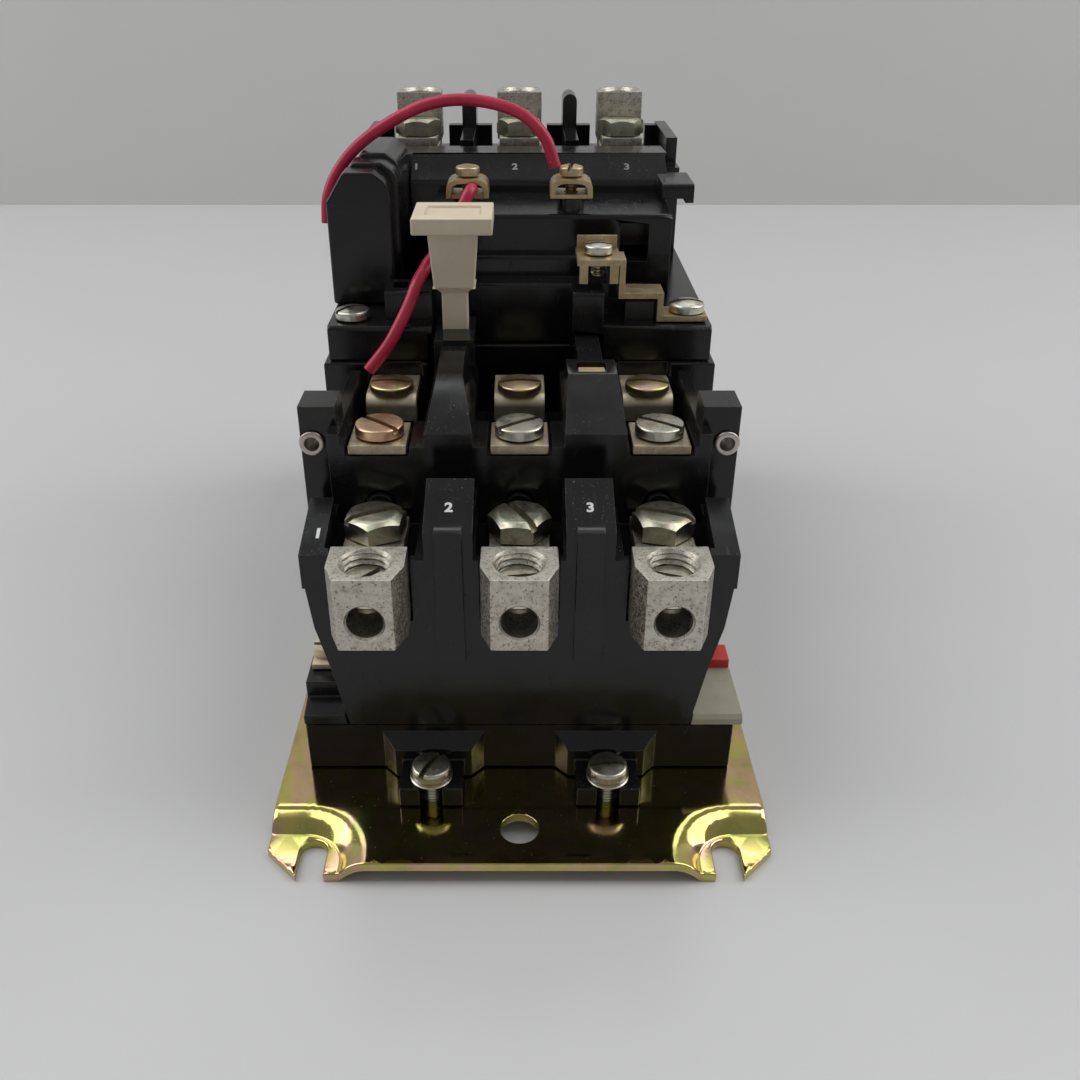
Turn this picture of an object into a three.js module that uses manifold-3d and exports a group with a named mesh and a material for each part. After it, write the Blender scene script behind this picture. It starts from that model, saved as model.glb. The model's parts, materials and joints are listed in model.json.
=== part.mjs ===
// A three-pole magnetic motor starter for panel mounting: a contactor and its overload relay
// on one steel plate. Millimetres. The origin is the centre of the plate's back face,
// +Z points away from the panel, +Y to the line end (L1 to L3), -Y to the load end (T1 to T3).
import * as THREE from 'three';
import { mergeVertices } from 'three/addons/utils/BufferGeometryUtils.js';
import Module from 'manifold-3d';

const wasm = await Module();
wasm.setup();

// ---- Driving dimensions ----
const GAP = 0.3; // clearance between neighbouring pieces
const PITCH = 28.6; // pole spacing
const POLES = [-PITCH, 0, PITCH];
const RIDGE_X = 13.5; // centre of the barriers between the poles
const SIDES = [-1, 1];

const PLATE = { width: 100, length: 190.5, steel: 1.9, top: 4.7, holeY: 85.9, holeDiameter: 7.6 };
const FOOT = { width: 14.9, depth: 10.5, radius: 8, run: 5.5, slotX: 40.8, slotWidth: 5.5, slotEnd: 6 };

const BASE = { halfWidth: 44.6, front: -68.2, back: -12, bottom: PLATE.top + GAP, top: 16.3 };
const EAR_SCREW = { x: 18, y: -76, z: 9.9 };
const RELAY = { bottom: BASE.top + GAP, front: -68.2, wall: -47.2, back: -12, body: -43.2, rim: 73 };
const LUG = { width: 14.7, height: 15.6, depth: 12.4, bore: 7, tap: 8.7, chamferX: 2, chamferY: 5 };
const T_LUG = { front: -78.7, bottom: 42.9 };
const TONGUE = { width: 12, thickness: 2.5, length: 17.5, above: 10.1, boltY: 23 };
const HEX = { acrossFlats: 11.1, height: 4.3, shank: 5 };
const PLATE_SEAT = 68.2; // height on which the front heater plates lie
const NICHE = { z: 57.2, radius: 3.4, floor: 52.7 };
const HEATER_Y = -41.2;
const REAR_HEATER_Y = -17.1;
const STRAP_TOP = 70.3;
const BARRIER_TOP = 79.6;
const EYELET = { x: 42.2, z: 69.4 };

const HOUSE = { halfWidth: 45, front: -9, back: 92, top: 73.6, wall: 11 };
const HOOD = { halfWidth: 43.8, bottom: HOUSE.top + GAP, front: -7.5, deck: 81.8, cover: 101.8, ridge: 110 };
const TERRACE = { halfWidth: 42.8, start: 69.5, height: 104.7 };
const LINE_LUG = { front: 83.6, width: 12.6, depth: 11.2, bottom: 107.3, height: 12.7 };
const LINE_BOLT_Y = 77.7;
const COVER_SCREW = { x: 38.6, y: -1.4 };
const COIL_TERMINAL = { x: 12.2, y: 19, z: 105.2 };
const JUMPER = { x: 17.8, y: 0.2, pad: 94.9 };
const CARRIER_TRAVEL = 4;
const RESET = { x: -14.6, y: -4, top: 106.4 };

// ---- Materials ----
function finish(color, roughness, metalness) {
  return new THREE.MeshStandardMaterial({ color, roughness, metalness });
}
const PHENOLIC = finish(0x17171a, 0.35, 0);
const CHROMATE = finish(0xa89a55, 0.35, 0.9);
const TINNED = finish(0xb3ada2, 0.5, 0.85);
const ZINC = finish(0xa9aa9a, 0.35, 0.9);
const NICKEL = finish(0x9c9078, 0.35, 0.9);
const COPPER = finish(0xb5724a, 0.35, 0.95);
const GOLD = finish(0xa98d3c, 0.3, 0.95);
const BRASS = finish(0x9d7f4f, 0.4, 0.9);
const IVORY = finish(0xd6cbb0, 0.5, 0);
const CRIMSON = finish(0xa61c3c, 0.45, 0);
const IRON = finish(0x55565a, 0.5, 0.8);
const WINDING = finish(0x6b3a1e, 0.5, 0.2);

// ---- Solids ----
function solid(geometry) {
  geometry.deleteAttribute('normal');
  geometry.deleteAttribute('uv');
  const merged = mergeVertices(geometry);
  const vertProperties = new Float32Array(merged.attributes.position.array);
  const triVerts = new Uint32Array(merged.index.array);
  return new wasm.Manifold(new wasm.Mesh({ numProp: 3, vertProperties, triVerts }));
}

function union(solids) {
  return solids.reduce((whole, piece) => whole.add(piece));
}

function cut(whole, solids) {
  return solids.reduce((rest, piece) => rest.subtract(piece), whole);
}

function shapeOf(points) {
  return new THREE.Shape(points.map(([a, b]) => new THREE.Vector2(a, b)));
}

// Directions into which an outline's own x, y and depth are turned.
const X = new THREE.Vector3(1, 0, 0);
const Y = new THREE.Vector3(0, 1, 0);
const Z = new THREE.Vector3(0, 0, 1);
const SIDEWAYS = new THREE.Matrix4().makeBasis(Y, Z, X);
const FORWARD = new THREE.Matrix4().makeBasis(X, Z, Y.clone().negate());

function box(x0, x1, y0, y1, z0, z1) {
  const geometry = new THREE.BoxGeometry(x1 - x0, y1 - y0, z1 - z0);
  return solid(geometry.translate((x0 + x1) / 2, (y0 + y1) / 2, (z0 + z1) / 2));
}

// A box whose top rectangle may be smaller than its bottom one; each is [x0, x1, y0, y1].
function taperedBox(bottom, top, z0, z1) {
  const geometry = new THREE.BoxGeometry(1, 1, 1);
  const corners = geometry.attributes.position;
  for (let i = 0; i < corners.count; i += 1) {
    const high = corners.getZ(i) > 0;
    const [x0, x1, y0, y1] = high ? top : bottom;
    corners.setXYZ(i, corners.getX(i) > 0 ? x1 : x0, corners.getY(i) > 0 ? y1 : y0, high ? z1 : z0);
  }
  return solid(geometry);
}

// An outline of [x, y] points raised from z0 to z1.
function upright(points, z0, z1) {
  const geometry = new THREE.ExtrudeGeometry(shapeOf(points), { depth: z1 - z0, bevelEnabled: false });
  return solid(geometry.translate(0, 0, z0));
}

// An outline of [y, z] points swept along X.
function crosswise(points, x0, x1) {
  const geometry = new THREE.ExtrudeGeometry(shapeOf(points), { depth: x1 - x0, bevelEnabled: false });
  return solid(geometry.applyMatrix4(SIDEWAYS).translate(x0, 0, 0));
}

// An outline of [x, z] points swept along Y.
function lengthwise(points, y0, y1) {
  const geometry = new THREE.ExtrudeGeometry(shapeOf(points), { depth: y1 - y0, bevelEnabled: false });
  return solid(geometry.applyMatrix4(FORWARD).translate(0, y1, 0));
}

// A turned piece about a vertical axis; the profile is a list of [radius, z] from bottom to top.
function turned(profile, x, y, segments = 20) {
  const points = profile.map(([radius, z]) => new THREE.Vector2(radius, z));
  const geometry = new THREE.LatheGeometry(points, segments);
  return solid(geometry.rotateX(Math.PI / 2).translate(x, y, 0));
}

function post(x, y, diameter, z0, z1, segments = 20) {
  return turned([[0, z0], [diameter / 2, z0], [diameter / 2, z1], [0, z1]], x, y, segments);
}

// A bar of round section along Y.
function bar(x, z, diameter, y0, y1, segments = 20) {
  const geometry = new THREE.CylinderGeometry(diameter / 2, diameter / 2, y1 - y0, segments);
  return solid(geometry.translate(x, (y0 + y1) / 2, z));
}

function wire(points, radius, steps, sides = 10) {
  const path = new THREE.CatmullRomCurve3(points.map((p) => new THREE.Vector3(...p)));
  const section = new THREE.Shape().absarc(0, 0, radius, 0, 2 * Math.PI);
  const options = { steps, extrudePath: path, curveSegments: sides / 2, bevelEnabled: false };
  return solid(new THREE.ExtrudeGeometry(section, options));
}

const group = new THREE.Group();

function addPart(name, piece, material) {
  const made = piece.getMesh();
  const geometry = new THREE.BufferGeometry();
  const positions = [];
  for (let i = 0; i < made.numVert; i += 1) {
    const start = i * made.numProp;
    positions.push(...made.vertProperties.slice(start, start + 3));
  }
  geometry.setAttribute('position', new THREE.Float32BufferAttribute(positions, 3));
  geometry.setIndex([...made.triVerts]);
  geometry.computeVertexNormals();
  const mesh = new THREE.Mesh(geometry, material);
  mesh.name = name;
  group.add(mesh);
}

// ---- Mounting plate ----
// The flat of one corner foot, as an outline that runs past the plate's edges.
function footOutline(sx, sy) {
  const x = (u) => sx * (PLATE.width / 2 - u);
  const y = (v) => sy * (PLATE.length / 2 - v);
  const shape = new THREE.Shape();
  shape.moveTo(x(-20), y(-20));
  shape.lineTo(x(-20), y(FOOT.depth));
  shape.lineTo(x(FOOT.width - FOOT.radius), y(FOOT.depth));
  shape.quadraticCurveTo(x(FOOT.width), y(FOOT.depth), x(FOOT.width), y(FOOT.depth - FOOT.radius));
  shape.lineTo(x(FOOT.width), y(-20));
  return shape;
}

// The space over a foot: it widens from the foot's flat up to the raised pan.
function footSpace(sx, sy, flatZ) {
  const rise = PLATE.top - PLATE.steel;
  const options = {
    depth: 6, bevelThickness: rise, bevelSize: FOOT.run, bevelSegments: 1, curveSegments: 6,
  };
  const geometry = new THREE.ExtrudeGeometry(footOutline(sx, sy), options);
  return solid(geometry.translate(0, 0, flatZ + rise));
}

function footCuts(sx, sy) {
  const endY = PLATE.length / 2 - FOOT.slotEnd;
  const half = FOOT.slotWidth / 2;
  const slot = box(
    sx * FOOT.slotX - half, sx * FOOT.slotX + half,
    Math.min(sy * endY, sy * 99), Math.max(sy * endY, sy * 99), -1, 6,
  );
  const corner = upright([
    [sx * 50.1, sy * 88.7], [sx * 43.4, sy * 95.4], [sx * 60, sy * 112],
  ], -1, 6);
  return [slot, post(sx * FOOT.slotX, sy * endY, FOOT.slotWidth, -1, 6), corner];
}

function mountingPlate() {
  const w = PLATE.width / 2;
  const l = PLATE.length / 2;
  const corners = SIDES.flatMap((sx) => SIDES.map((sy) => [sx, sy]));
  const spaces = corners.map(([sx, sy]) => footSpace(sx, sy, PLATE.steel));
  const pan = cut(box(-w, w, -l, l, 0, PLATE.top), spaces);
  const under = cut(box(-60, 60, -99, 99, -4, PLATE.top - PLATE.steel),
    corners.map(([sx, sy]) => footSpace(sx, sy, 0)));
  const holes = SIDES.map((sy) => post(0, sy * PLATE.holeY, PLATE.holeDiameter, -1, 6, 32));
  const screwHoles = SIDES.map((sx) => post(sx * EAR_SCREW.x, EAR_SCREW.y, 4.8, -1, 6));
  return cut(pan, [under, ...holes, ...screwHoles, ...corners.flatMap(([sx, sy]) => footCuts(sx, sy))]);
}

// ---- Overload relay ----
// A boss on the base's front behind a fixing screw; it narrows forwards and its top slopes down.
function screwBoss(x) {
  const { front, bottom } = BASE;
  const plan = [
    [x - 10.6, front + 1], [x - 10.6, front], [x - 7.8, front - 3],
    [x + 7.8, front - 3], [x + 10.6, front], [x + 10.6, front + 1],
  ];
  const above = [[front - 4, 11.67], [front, 14.6], [front, 18], [front - 4, 18]];
  return cut(upright(plan, bottom, 14.6), [crosswise(above, x - 12, x + 12)]);
}

function screwEar(x) {
  const ear = box(x - 6.4, x + 6.4, -80, -64, BASE.bottom, 9.6);
  const { y } = EAR_SCREW;
  return cut(ear, [box(x - 2.3, x + 2.3, -84, y, 4, 11), post(x, y, 4.6, 4, 11)]);
}

function overloadBase() {
  const { halfWidth, front, back, bottom, top } = BASE;
  const block = box(-halfWidth, halfWidth, front, back, bottom, top);
  const body = cut(block, [box(-36, 36, -58, -20, 4, 12)]);
  const fixings = SIDES.map((side) => side * EAR_SCREW.x);
  return union([body, ...fixings.map(screwBoss), ...fixings.map(screwEar)]);
}

// Half of the shield-shaped front, from the foot up to the shoulder.
const SHIELD_EDGE = [[35.3, RELAY.bottom], [38, 31], [40.4, 41], [41.9, 55], [41.9, 57.2]];

function shieldOutline(grow) {
  const right = SHIELD_EDGE.map(([x, z]) => [x + grow, z]);
  const left = right.map(([x, z]) => [-x, z]).reverse();
  return [...right, ...left];
}

function shoulder(side) {
  const top = [[RELAY.front, 50], [-52, 50], [-52, 61.4], [RELAY.front, 57.5]];
  return crosswise(top, side > 0 ? 35.8 : -41.9, side > 0 ? 41.9 : -35.8);
}

// The column between two terminals, with its sloped label face and a rib down its front.
function terminalColumn(x) {
  const profile = [
    [RELAY.front, 45], [RELAY.wall, 45], [RELAY.wall, 61], [-55, 61], [-55, 67.2], [RELAY.front, 62.2],
  ];
  const edge = [[x - 2.8, 33.2], [x + 2.8, 33.2], [x + 2.6, 63], [x - 2.6, 63]];
  const rib = lengthwise(edge, RELAY.front - 1.2, -60);
  return union([crosswise(profile, x - 4.7, x + 4.7), rib]);
}

// The space for one terminal lug: a notch for the lug and a channel for its tongue and bolt.
function lugBay(x) {
  const half = LUG.width / 2 + 0.4;
  const notch = box(x - half, x + half, -80, T_LUG.front + LUG.depth + GAP, T_LUG.bottom - GAP, 90);
  const channel = box(x - 8.6, x + 8.6, -66.2, RELAY.wall, 52.7, 90);
  return union([notch, channel]);
}

// An arch-topped tongue of space or material, standing along Y on the floor of a lug bay.
function arch(x, radius, y0, y1) {
  const { z, floor } = NICHE;
  return union([bar(x, z, 2 * radius, y0, y1, 32), box(x - radius, x + radius, y0, y1, floor, z)]);
}

// The arched niche behind a terminal bolt, and the rounded peg that stands in it.
function niche(x) {
  return arch(x, NICHE.radius, RELAY.wall - 1, RELAY.wall + 1.7);
}

function peg(x) {
  return arch(x, NICHE.radius - 0.6, RELAY.wall - 1.1, RELAY.wall + 2);
}

function heaterSeat(x) {
  const space = box(x - 6.5, x + 6.5, RELAY.wall - 1, -34, PLATE_SEAT, 90);
  const left = Math.max(x - 9.4, -36);
  const right = Math.min(x + 9.4, 36);
  const rim = box(left, right, RELAY.wall - 1, -34, 70.2, 90);
  const well = box(left, right, -34, -23.5, 48, 90);
  const rear = box(left, right, -24, RELAY.back + 1, 63, 90);
  return union([space, rim, well, rear]);
}

function ear(side) {
  const inner = 37 * side;
  const outer = BASE.halfWidth * side;
  const piece = box(Math.min(inner, outer), Math.max(inner, outer), RELAY.body, -34.4, 40, 77.2);
  return cut(piece, [bar(side * EYELET.x, EYELET.z, 3.8, -50, -20, 16)]);
}

function leftBarrier() {
  const { x } = RESET;
  const foot = [x - 4.2, x + 5.2, RELAY.wall, -11];
  const ridge = taperedBox(foot, [x - 2.7, x + 2.7, -31.5, -11], RELAY.rim, BARRIER_TOP);
  const trunk = box(...foot, 40, RELAY.rim);
  const tower = box(x - 4.4, x + 4.4, -14.5, 2.5, RELAY.bottom, 81);
  const guide = box(RESET.x - 3.2, RESET.x + 3.2, RESET.y - 2.8, RESET.y + 2.8, 45, 90);
  return cut(union([ridge, trunk, tower]), [guide]);
}

function rightBarrier() {
  const x = RIDGE_X + 1.8;
  const foot = [x - 6.2, x + 6.2, RELAY.wall, -21];
  const front = taperedBox(foot, [x - 5.2, x + 5.2, -31.5, -22.5], RELAY.rim - 0.1, BARRIER_TOP);
  const ridge = box(x - 2.7, x + 2.7, -23, 3, 50, BARRIER_TOP);
  const trunk = box(x - 6.2, x + 6.2, RELAY.wall, -12, 40, RELAY.rim);
  const chamber = box(x - 3.6, x + 3.6, -30.7, -22.9, 76, 78.5);
  const opening = box(x - 3.1, x + 3.1, -29.9, -24.1, 77.6, 83);
  return cut(union([front, ridge, trunk]), [chamber, opening]);
}

function overloadHousing() {
  const shield = lengthwise(shieldOutline(0), RELAY.front, RELAY.wall + 0.5);
  const trimmed = cut(shield, [box(-35.8, 35.8, -71, RELAY.wall, 56.3, 90)]);
  const core = box(-38.5, 38.5, RELAY.wall, RELAY.back, RELAY.bottom, RELAY.rim);
  const flanks = box(-BASE.halfWidth, BASE.halfWidth, RELAY.body, RELAY.back, RELAY.bottom, 57);
  const shell = cut(union([core, flanks]), POLES.map(heaterSeat));
  const columns = SIDES.map((s) => terminalColumn(s * RIDGE_X));
  const front = cut(union([trimmed, ...SIDES.map(shoulder), ...columns]), POLES.map(lugBay));
  const opened = cut(union([shell, front, ...SIDES.map(ear)]), POLES.map(niche));
  const hollow = box(-34, 34, -60, -24, 10, 40);
  return cut(union([opened, ...POLES.map(peg), leftBarrier(), rightBarrier()]), [
    hollow, box(RESET.x - 3.2, RESET.x + 3.2, RESET.y - 2.8, RESET.y + 2.8, 45, 90),
  ]);
}

function rivet(side) {
  const profile = [
    [1.75, 0], [1.75, 8.6], [2.65, 8.6], [2.5, 9.2], [1.6, 9.2], [1.4, 8.6], [1.4, 0], [1.75, 0],
  ];
  const points = profile.map(([r, z]) => new THREE.Vector2(r, z));
  const geometry = new THREE.LatheGeometry(points, 24);
  return solid(geometry.rotateX(Math.PI).translate(side * EYELET.x, RELAY.body + 8.4, EYELET.z));
}

function ncBlock() {
  const profile = [
    [-68.2, 16.6], [-68.2, 18.6], [-63, 19.8], [-63, 23.5], [-47.6, 23.5], [-47.6, 16.6],
  ];
  return cut(crosswise(profile, -44.8, -34), [lengthwise(shieldOutline(GAP), -75, -30)]);
}

function ncTerminal() {
  const strip = box(-44, -39.6, -58.8, -49, 23.8, 25);
  const head = cut(post(-41.8, -54.5, 5, 24.5, 27.4), [box(-45, -38, -55, -54, 26.4, 28)]);
  return strip.add(head);
}

function testButton() {
  const profile = [[-68.4, 16.7], [-68.4, 18], [-67.6, 18.9], [-50, 18.9], [-50, 16.7]];
  const tip = box(39.5, 46, -52, -46.2, 16.7, 21.2);
  return cut(union([crosswise(profile, 34, 46.3), tip]), [lengthwise(shieldOutline(GAP), -75, -30)]);
}

function tripFlag() {
  const x = RIDGE_X + 1.8;
  const slide = box(x - 3.2, x + 3.2, -30.4, -24.6, 76.3, 78.1);
  return union([slide, box(x - 2.8, x + 2.8, -29.6, -26.2, 78, 79.2)]);
}

function resetPlunger() {
  const { x, y, top } = RESET;
  const collar = [x - 5.5, x + 5.5, y - 4.4, y + 4.4];
  const waist = [x - 4.5, x + 4.5, y - 3.6, y + 3.6];
  const shaft = [x - 2.9, x + 2.9, y - 2.5, y + 2.5];
  const dish = box(x - 6, x + 6, y - 1.8, y + 6.8, top - 0.6, top + 1);
  const head = cut(box(x - 8.8, x + 8.8, y - 6.2, y + 10.4, top - 3.5, top), [dish]);
  const body = taperedBox(waist, collar, 90.6, 103);
  const neck = taperedBox(shaft, waist, 89.3, 90.7);
  const stem = box(...shaft, 52, 89.4);
  return union([head, body, neck, stem]);
}

// ---- Terminals ----
function boxLug(x, front, bottom, direction) {
  const { width, depth, height, chamferX, chamferY } = LUG;
  const w = width / 2;
  const y = (d) => front + direction * d;
  const outline = [
    [x - w + chamferX, y(0)], [x + w - chamferX, y(0)], [x + w, y(chamferY)], [x + w, y(depth)],
    [x - w, y(depth)], [x - w, y(chamferY)],
  ];
  const middle = y(6.4);
  const tongueEnds = [y(depth - 1), y(depth + TONGUE.length)];
  const tongue = box(
    x - TONGUE.width / 2, x + TONGUE.width / 2, Math.min(...tongueEnds), Math.max(...tongueEnds),
    bottom + TONGUE.above, bottom + TONGUE.above + TONGUE.thickness,
  );
  const boreEnds = [y(-1), y(depth - 2)];
  const bore = bar(x, bottom + 6.2, LUG.bore, Math.min(...boreEnds), Math.max(...boreEnds));
  const top = bottom + height;
  const r = LUG.tap / 2;
  const tap = turned([
    [0, bottom + 5], [r, bottom + 5], [r, top - 0.6], [r + 1.1, top + 0.5], [0, top + 0.5],
  ], x, middle);
  const boltHole = post(x, y(TONGUE.boltY), HEX.shank + 0.6, bottom, top + 5, 16);
  return cut(upright(outline, bottom, top).add(tongue), [bore, tap, boltHole]);
}

// A line lug stands behind its bolt, with its tongue towards the middle of the starter.
function lineLug(x) {
  const { chamferX, chamferY, tap: tapDiameter } = LUG;
  const { front, bottom } = LINE_LUG;
  const w = LINE_LUG.width / 2;
  const back = front + LINE_LUG.depth;
  const top = bottom + LINE_LUG.height;
  const outline = [
    [x - w, front], [x + w, front], [x + w, back - chamferY], [x + w - chamferX, back],
    [x - w + chamferX, back], [x - w, back - chamferY],
  ];
  const tongue = box(x - 5.6, x + 5.6, LINE_BOLT_Y - 6, front + 1, bottom, bottom + 2.3);
  const bore = bar(x, bottom + 5.6, LUG.bore, front + 2, back + 1);
  const r = tapDiameter / 2;
  const tap = turned([
    [0, bottom + 5], [r, bottom + 5], [r, top - 0.6], [r + 1.1, top + 0.5], [0, top + 0.5],
  ], x, back - 5.9);
  const boltHole = post(x, LINE_BOLT_Y, HEX.shank + 0.6, bottom - 1, bottom + 5, 16);
  return cut(upright(outline, bottom, top).add(tongue), [bore, tap, boltHole]);
}

function clampScrew(x, y, bottom) {
  const body = post(x, y, LUG.tap - 0.6, bottom, bottom + 5);
  return cut(body, [box(x - 5, x + 5, y - 0.6, y + 0.6, bottom + 3.6, bottom + 6)]);
}

// A hexagonal prism with a flat towards -Y, turned about its axis by an angle in degrees.
function hexagonal(x, y, corner, z0, z1, turn) {
  const start = THREE.MathUtils.degToRad(30 + turn);
  const geometry = new THREE.CylinderGeometry(corner, corner, z1 - z0, 6, 1, false, start);
  return solid(geometry.rotateX(Math.PI / 2).translate(x, y, (z0 + z1) / 2));
}

// A slotted hexagon-head bolt that stands on z; its slot and its head are turned by angles.
function hexBolt(x, y, z, angle, shankLength, turn = 0) {
  const corner = HEX.acrossFlats / 2 / Math.cos(Math.PI / 6);
  const hexagon = hexagonal(x, y, corner, z, z + HEX.height, turn);
  const domeRadius = corner - 0.7;
  const cone = turned([
    [0, z - 1], [corner + 2, z - 1], [corner + 2, z + HEX.height - 1.6], [domeRadius, z + HEX.height],
    [0, z + HEX.height],
  ], x, y);
  const slot = turnedSlot(x, y, z + HEX.height - 1.5, angle, 1.5);
  const shank = post(x, y, HEX.shank, z - shankLength, z + 0.5, 16);
  return cut(hexagon.intersect(cone), [slot]).add(shank);
}

function turnedSlot(x, y, floor, angle, width) {
  const geometry = new THREE.BoxGeometry(20, width, 6);
  geometry.rotateZ(THREE.MathUtils.degToRad(angle));
  return solid(geometry.translate(x, y, floor + 3));
}

// A slotted cheese-head screw: head diameter and height, and its shank below z.
function cheeseScrew(x, y, z, head, height, shank, shankLength, angle) {
  const r = head / 2;
  const profile = [
    [0, z - shankLength], [shank / 2, z - shankLength], [shank / 2, z], [r, z], [r, z + height - 0.7],
    [r - 0.7, z + height - 0.1], [0, z + height],
  ];
  return cut(turned(profile, x, y), [turnedSlot(x, y, z + height - 1.1, angle, 1.1)]);
}

function heaterPlate(x) {
  const plate = box(x - 5.9, x + 5.9, HEATER_Y - 6, HEATER_Y + 5.9, PLATE_SEAT + GAP, PLATE_SEAT + 2.3);
  return cut(plate, [post(x, HEATER_Y, 5.2, 60, 75, 16)]);
}

// A strip that bends down at its front end and lies flat behind it.
function strap(x, width, front, back, top, drop) {
  const t = 2;
  const r = 2.6;
  const shape = new THREE.Shape();
  shape.moveTo(back, top);
  shape.lineTo(front + r, top);
  shape.absarc(front + r, top - r, r, Math.PI / 2, Math.PI, false);
  shape.lineTo(front, top - drop);
  shape.lineTo(front + t, top - drop);
  shape.lineTo(front + t, top - r);
  shape.absarc(front + r, top - r, r - t, Math.PI, Math.PI / 2, true);
  shape.lineTo(back, top - t);
  const geometry = new THREE.ExtrudeGeometry(shape, { depth: width, bevelEnabled: false, curveSegments: 6 });
  return solid(geometry.applyMatrix4(SIDEWAYS).translate(x - width / 2, 0, 0));
}

function loadStrap(x) {
  return cut(strap(x, 11.3, -20.9, -7.5, STRAP_TOP, 6), [post(x, REAR_HEATER_Y, 5.2, 60, 75, 16)]);
}

function lineStrap(x) {
  const sheet = strap(x, 11.6, 71.2, 90, LINE_LUG.bottom - GAP, 6);
  return cut(sheet, [post(x, LINE_BOLT_Y, 5.6, 90, 112, 16)]);
}

// ---- Contactor ----
function contactorBase() {
  const { halfWidth, front, back, top, wall } = HOUSE;
  const block = box(-halfWidth, halfWidth, front, back, BASE.bottom, top);
  const well = box(-halfWidth + wall, halfWidth - wall, 14, 74, 9, top + 1);
  const waist = SIDES.map((s) => box(s > 0 ? 40 : -50, s > 0 ? 50 : -40, 4, 76, 20, 58));
  const notch = box(-21, 19.2, front - 1, 3.6, 4, top + 1);
  const strapSlots = POLES.map((x) => box(x - 6, x + 6, front - 1, -7.2, STRAP_TOP - 2.3, top + 1));
  const feet = SIDES.map((s) => box(s > 0 ? 34 : -50, s > 0 ? 50 : -34, 78, back + 1, 4, 60));
  return cut(block, [well, notch, ...waist, ...strapSlots, ...feet]);
}

// The stepped middle of the hood, from the deck up to the cover over the coil.
const HOOD_STEPS = [
  [5, 88], [11, 93], [14, HOOD.cover],
];

function hoodBlocks() {
  const blocks = HOOD_STEPS.map(([y, z]) => box(-21, 21, y, 40, 75, z));
  const raised = cut(box(-30.7, -20, -3.5, 7.6, 75, 88.6), [box(-29.2, -25.8, 0, 5, 84, 95)]);
  return [...blocks, raised, box(12, 19, -7.5, 7, 75, 89.5), box(24.1, 30.7, -4, 10, 75, 87.1)];
}

function hoodTop() {
  const slope = [[37.5, 75], [37.5, 104.6], [46.5, HOOD.ridge], [47, HOOD.ridge], [47, 75]];
  const ledge = [[46.5, 75], [46.5, HOOD.ridge], [59, HOOD.ridge - 0.4], [63, 105], [70, 104.7], [70, 75]];
  const right = cut(box(20, 36.1, 14, 40, 75, HOOD.cover), [box(23.9, 30.7, 10, 24, 90.8, 99.6)]);
  const shelf = box(35, 42.8, 27, 42, 102.6, 106);
  const hook = box(40.8, 42.8, 27, 42, 101.6, 103);
  return [crosswise(slope, -27.6, 37.4), crosswise(ledge, -38, 38), right, shelf, hook];
}

function hoodTerrace() {
  const { halfWidth: w, start, height } = TERRACE;
  const floor = box(-w, w, 55, HOUSE.back, 75, height);
  const backWall = box(-w, w, 88.5, HOUSE.back, 95, 110.4);
  const cheeks = SIDES.map((s) => box(s > 0 ? w - 3 : -w, s > 0 ? w : 3 - w, 63, HOUSE.back, 95, 111));
  const dividers = SIDES.map((s) => box(s * 14.3 - 1.8, s * 14.3 + 1.8, 63, 88, 95, 110.4));
  const posts = SIDES.map((s) => box(s * 14.3 - 2, s * 14.3 + 2, 82, HOUSE.back, 95, 117.6));
  const caps = SIDES.map((s) => bar(s * 14.3, 117.6, 4, 82, HOUSE.back, 16));
  const solids = union([floor, backWall, ...cheeks, ...dividers, ...posts, ...caps]);
  const bays = POLES.map((x) => box(x - 8, x + 8, start, HOUSE.back + 1, height, 130));
  const strapSlots = POLES.map((x) => box(x - 6.4, x + 6.4, start, start + 4.2, 100, 130));
  return cut(solids, [...bays, ...strapSlots]);
}

function lineHousing() {
  const deck = box(-HOOD.halfWidth, HOOD.halfWidth, HOOD.front, HOUSE.back, HOOD.bottom, HOOD.deck);
  const mouth = box(-20, 12, -10, 5, 60, 90);
  const well = box(-34.5, 34.5, 20, 60, 60, 92);
  const { x: coilX, y: coilY, z: coilZ } = COIL_TERMINAL;
  const guards = SIDES.map((s) => post(s * coilX, coilY, 6.4, 96, coilZ - GAP));
  const whole = union([deck, ...hoodBlocks(), ...hoodTop(), ...guards]);
  const { start, height } = TERRACE;
  const bays = POLES.map((x) => box(x - 6.4, x + 6.4, start, start + 4.2, 100, 130));
  const opened = cut(whole, [box(-60, 60, start, 100, height, 130), ...bays]);
  const screwHoles = SIDES.map((s) => post(s * COVER_SCREW.x, COVER_SCREW.y, 4, 74, 95, 16));
  const relief = box(-21, 19.2, -10, 3.3, 60, 80);
  return cut(union([opened, hoodTerrace()]), [mouth, well, relief, ...screwHoles]);
}

function auxBlock() {
  const layers = [0, 1, 2].map((k) => {
    const shift = 1.3 * k;
    const top = 112.4 + 0.9 * k;
    const outline = [
      [-44.4 + shift, HOOD.deck + GAP], [-29.4 + shift, HOOD.deck + GAP], [-29.4 + shift, top - 5],
      [-30.6 + shift, top - 1.8], [-33 + shift, top], [-40.2 + shift, top], [-44.4 + shift, top - 6.6],
    ];
    return lengthwise(outline, 8 + 7 * k, k === 2 ? 45 : 16 + 7 * k);
  });
  const clearance = box(-28, 0, 0, 60, 70, 120);
  return cut(union(layers), [clearance]);
}

function coilTerminal(side) {
  const { y, z } = COIL_TERMINAL;
  const x = side * COIL_TERMINAL.x;
  const saddle = box(x - 5, x + 5, y - 4, y + 4, z, z + 4.4);
  const inside = box(x - 3.6, x + 3.6, y - 5, y + 5, z + 1.2, z + 3.3);
  return cut(saddle, [inside, post(x, y, 3.4, z - 1, z + 6, 16)]);
}

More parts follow.
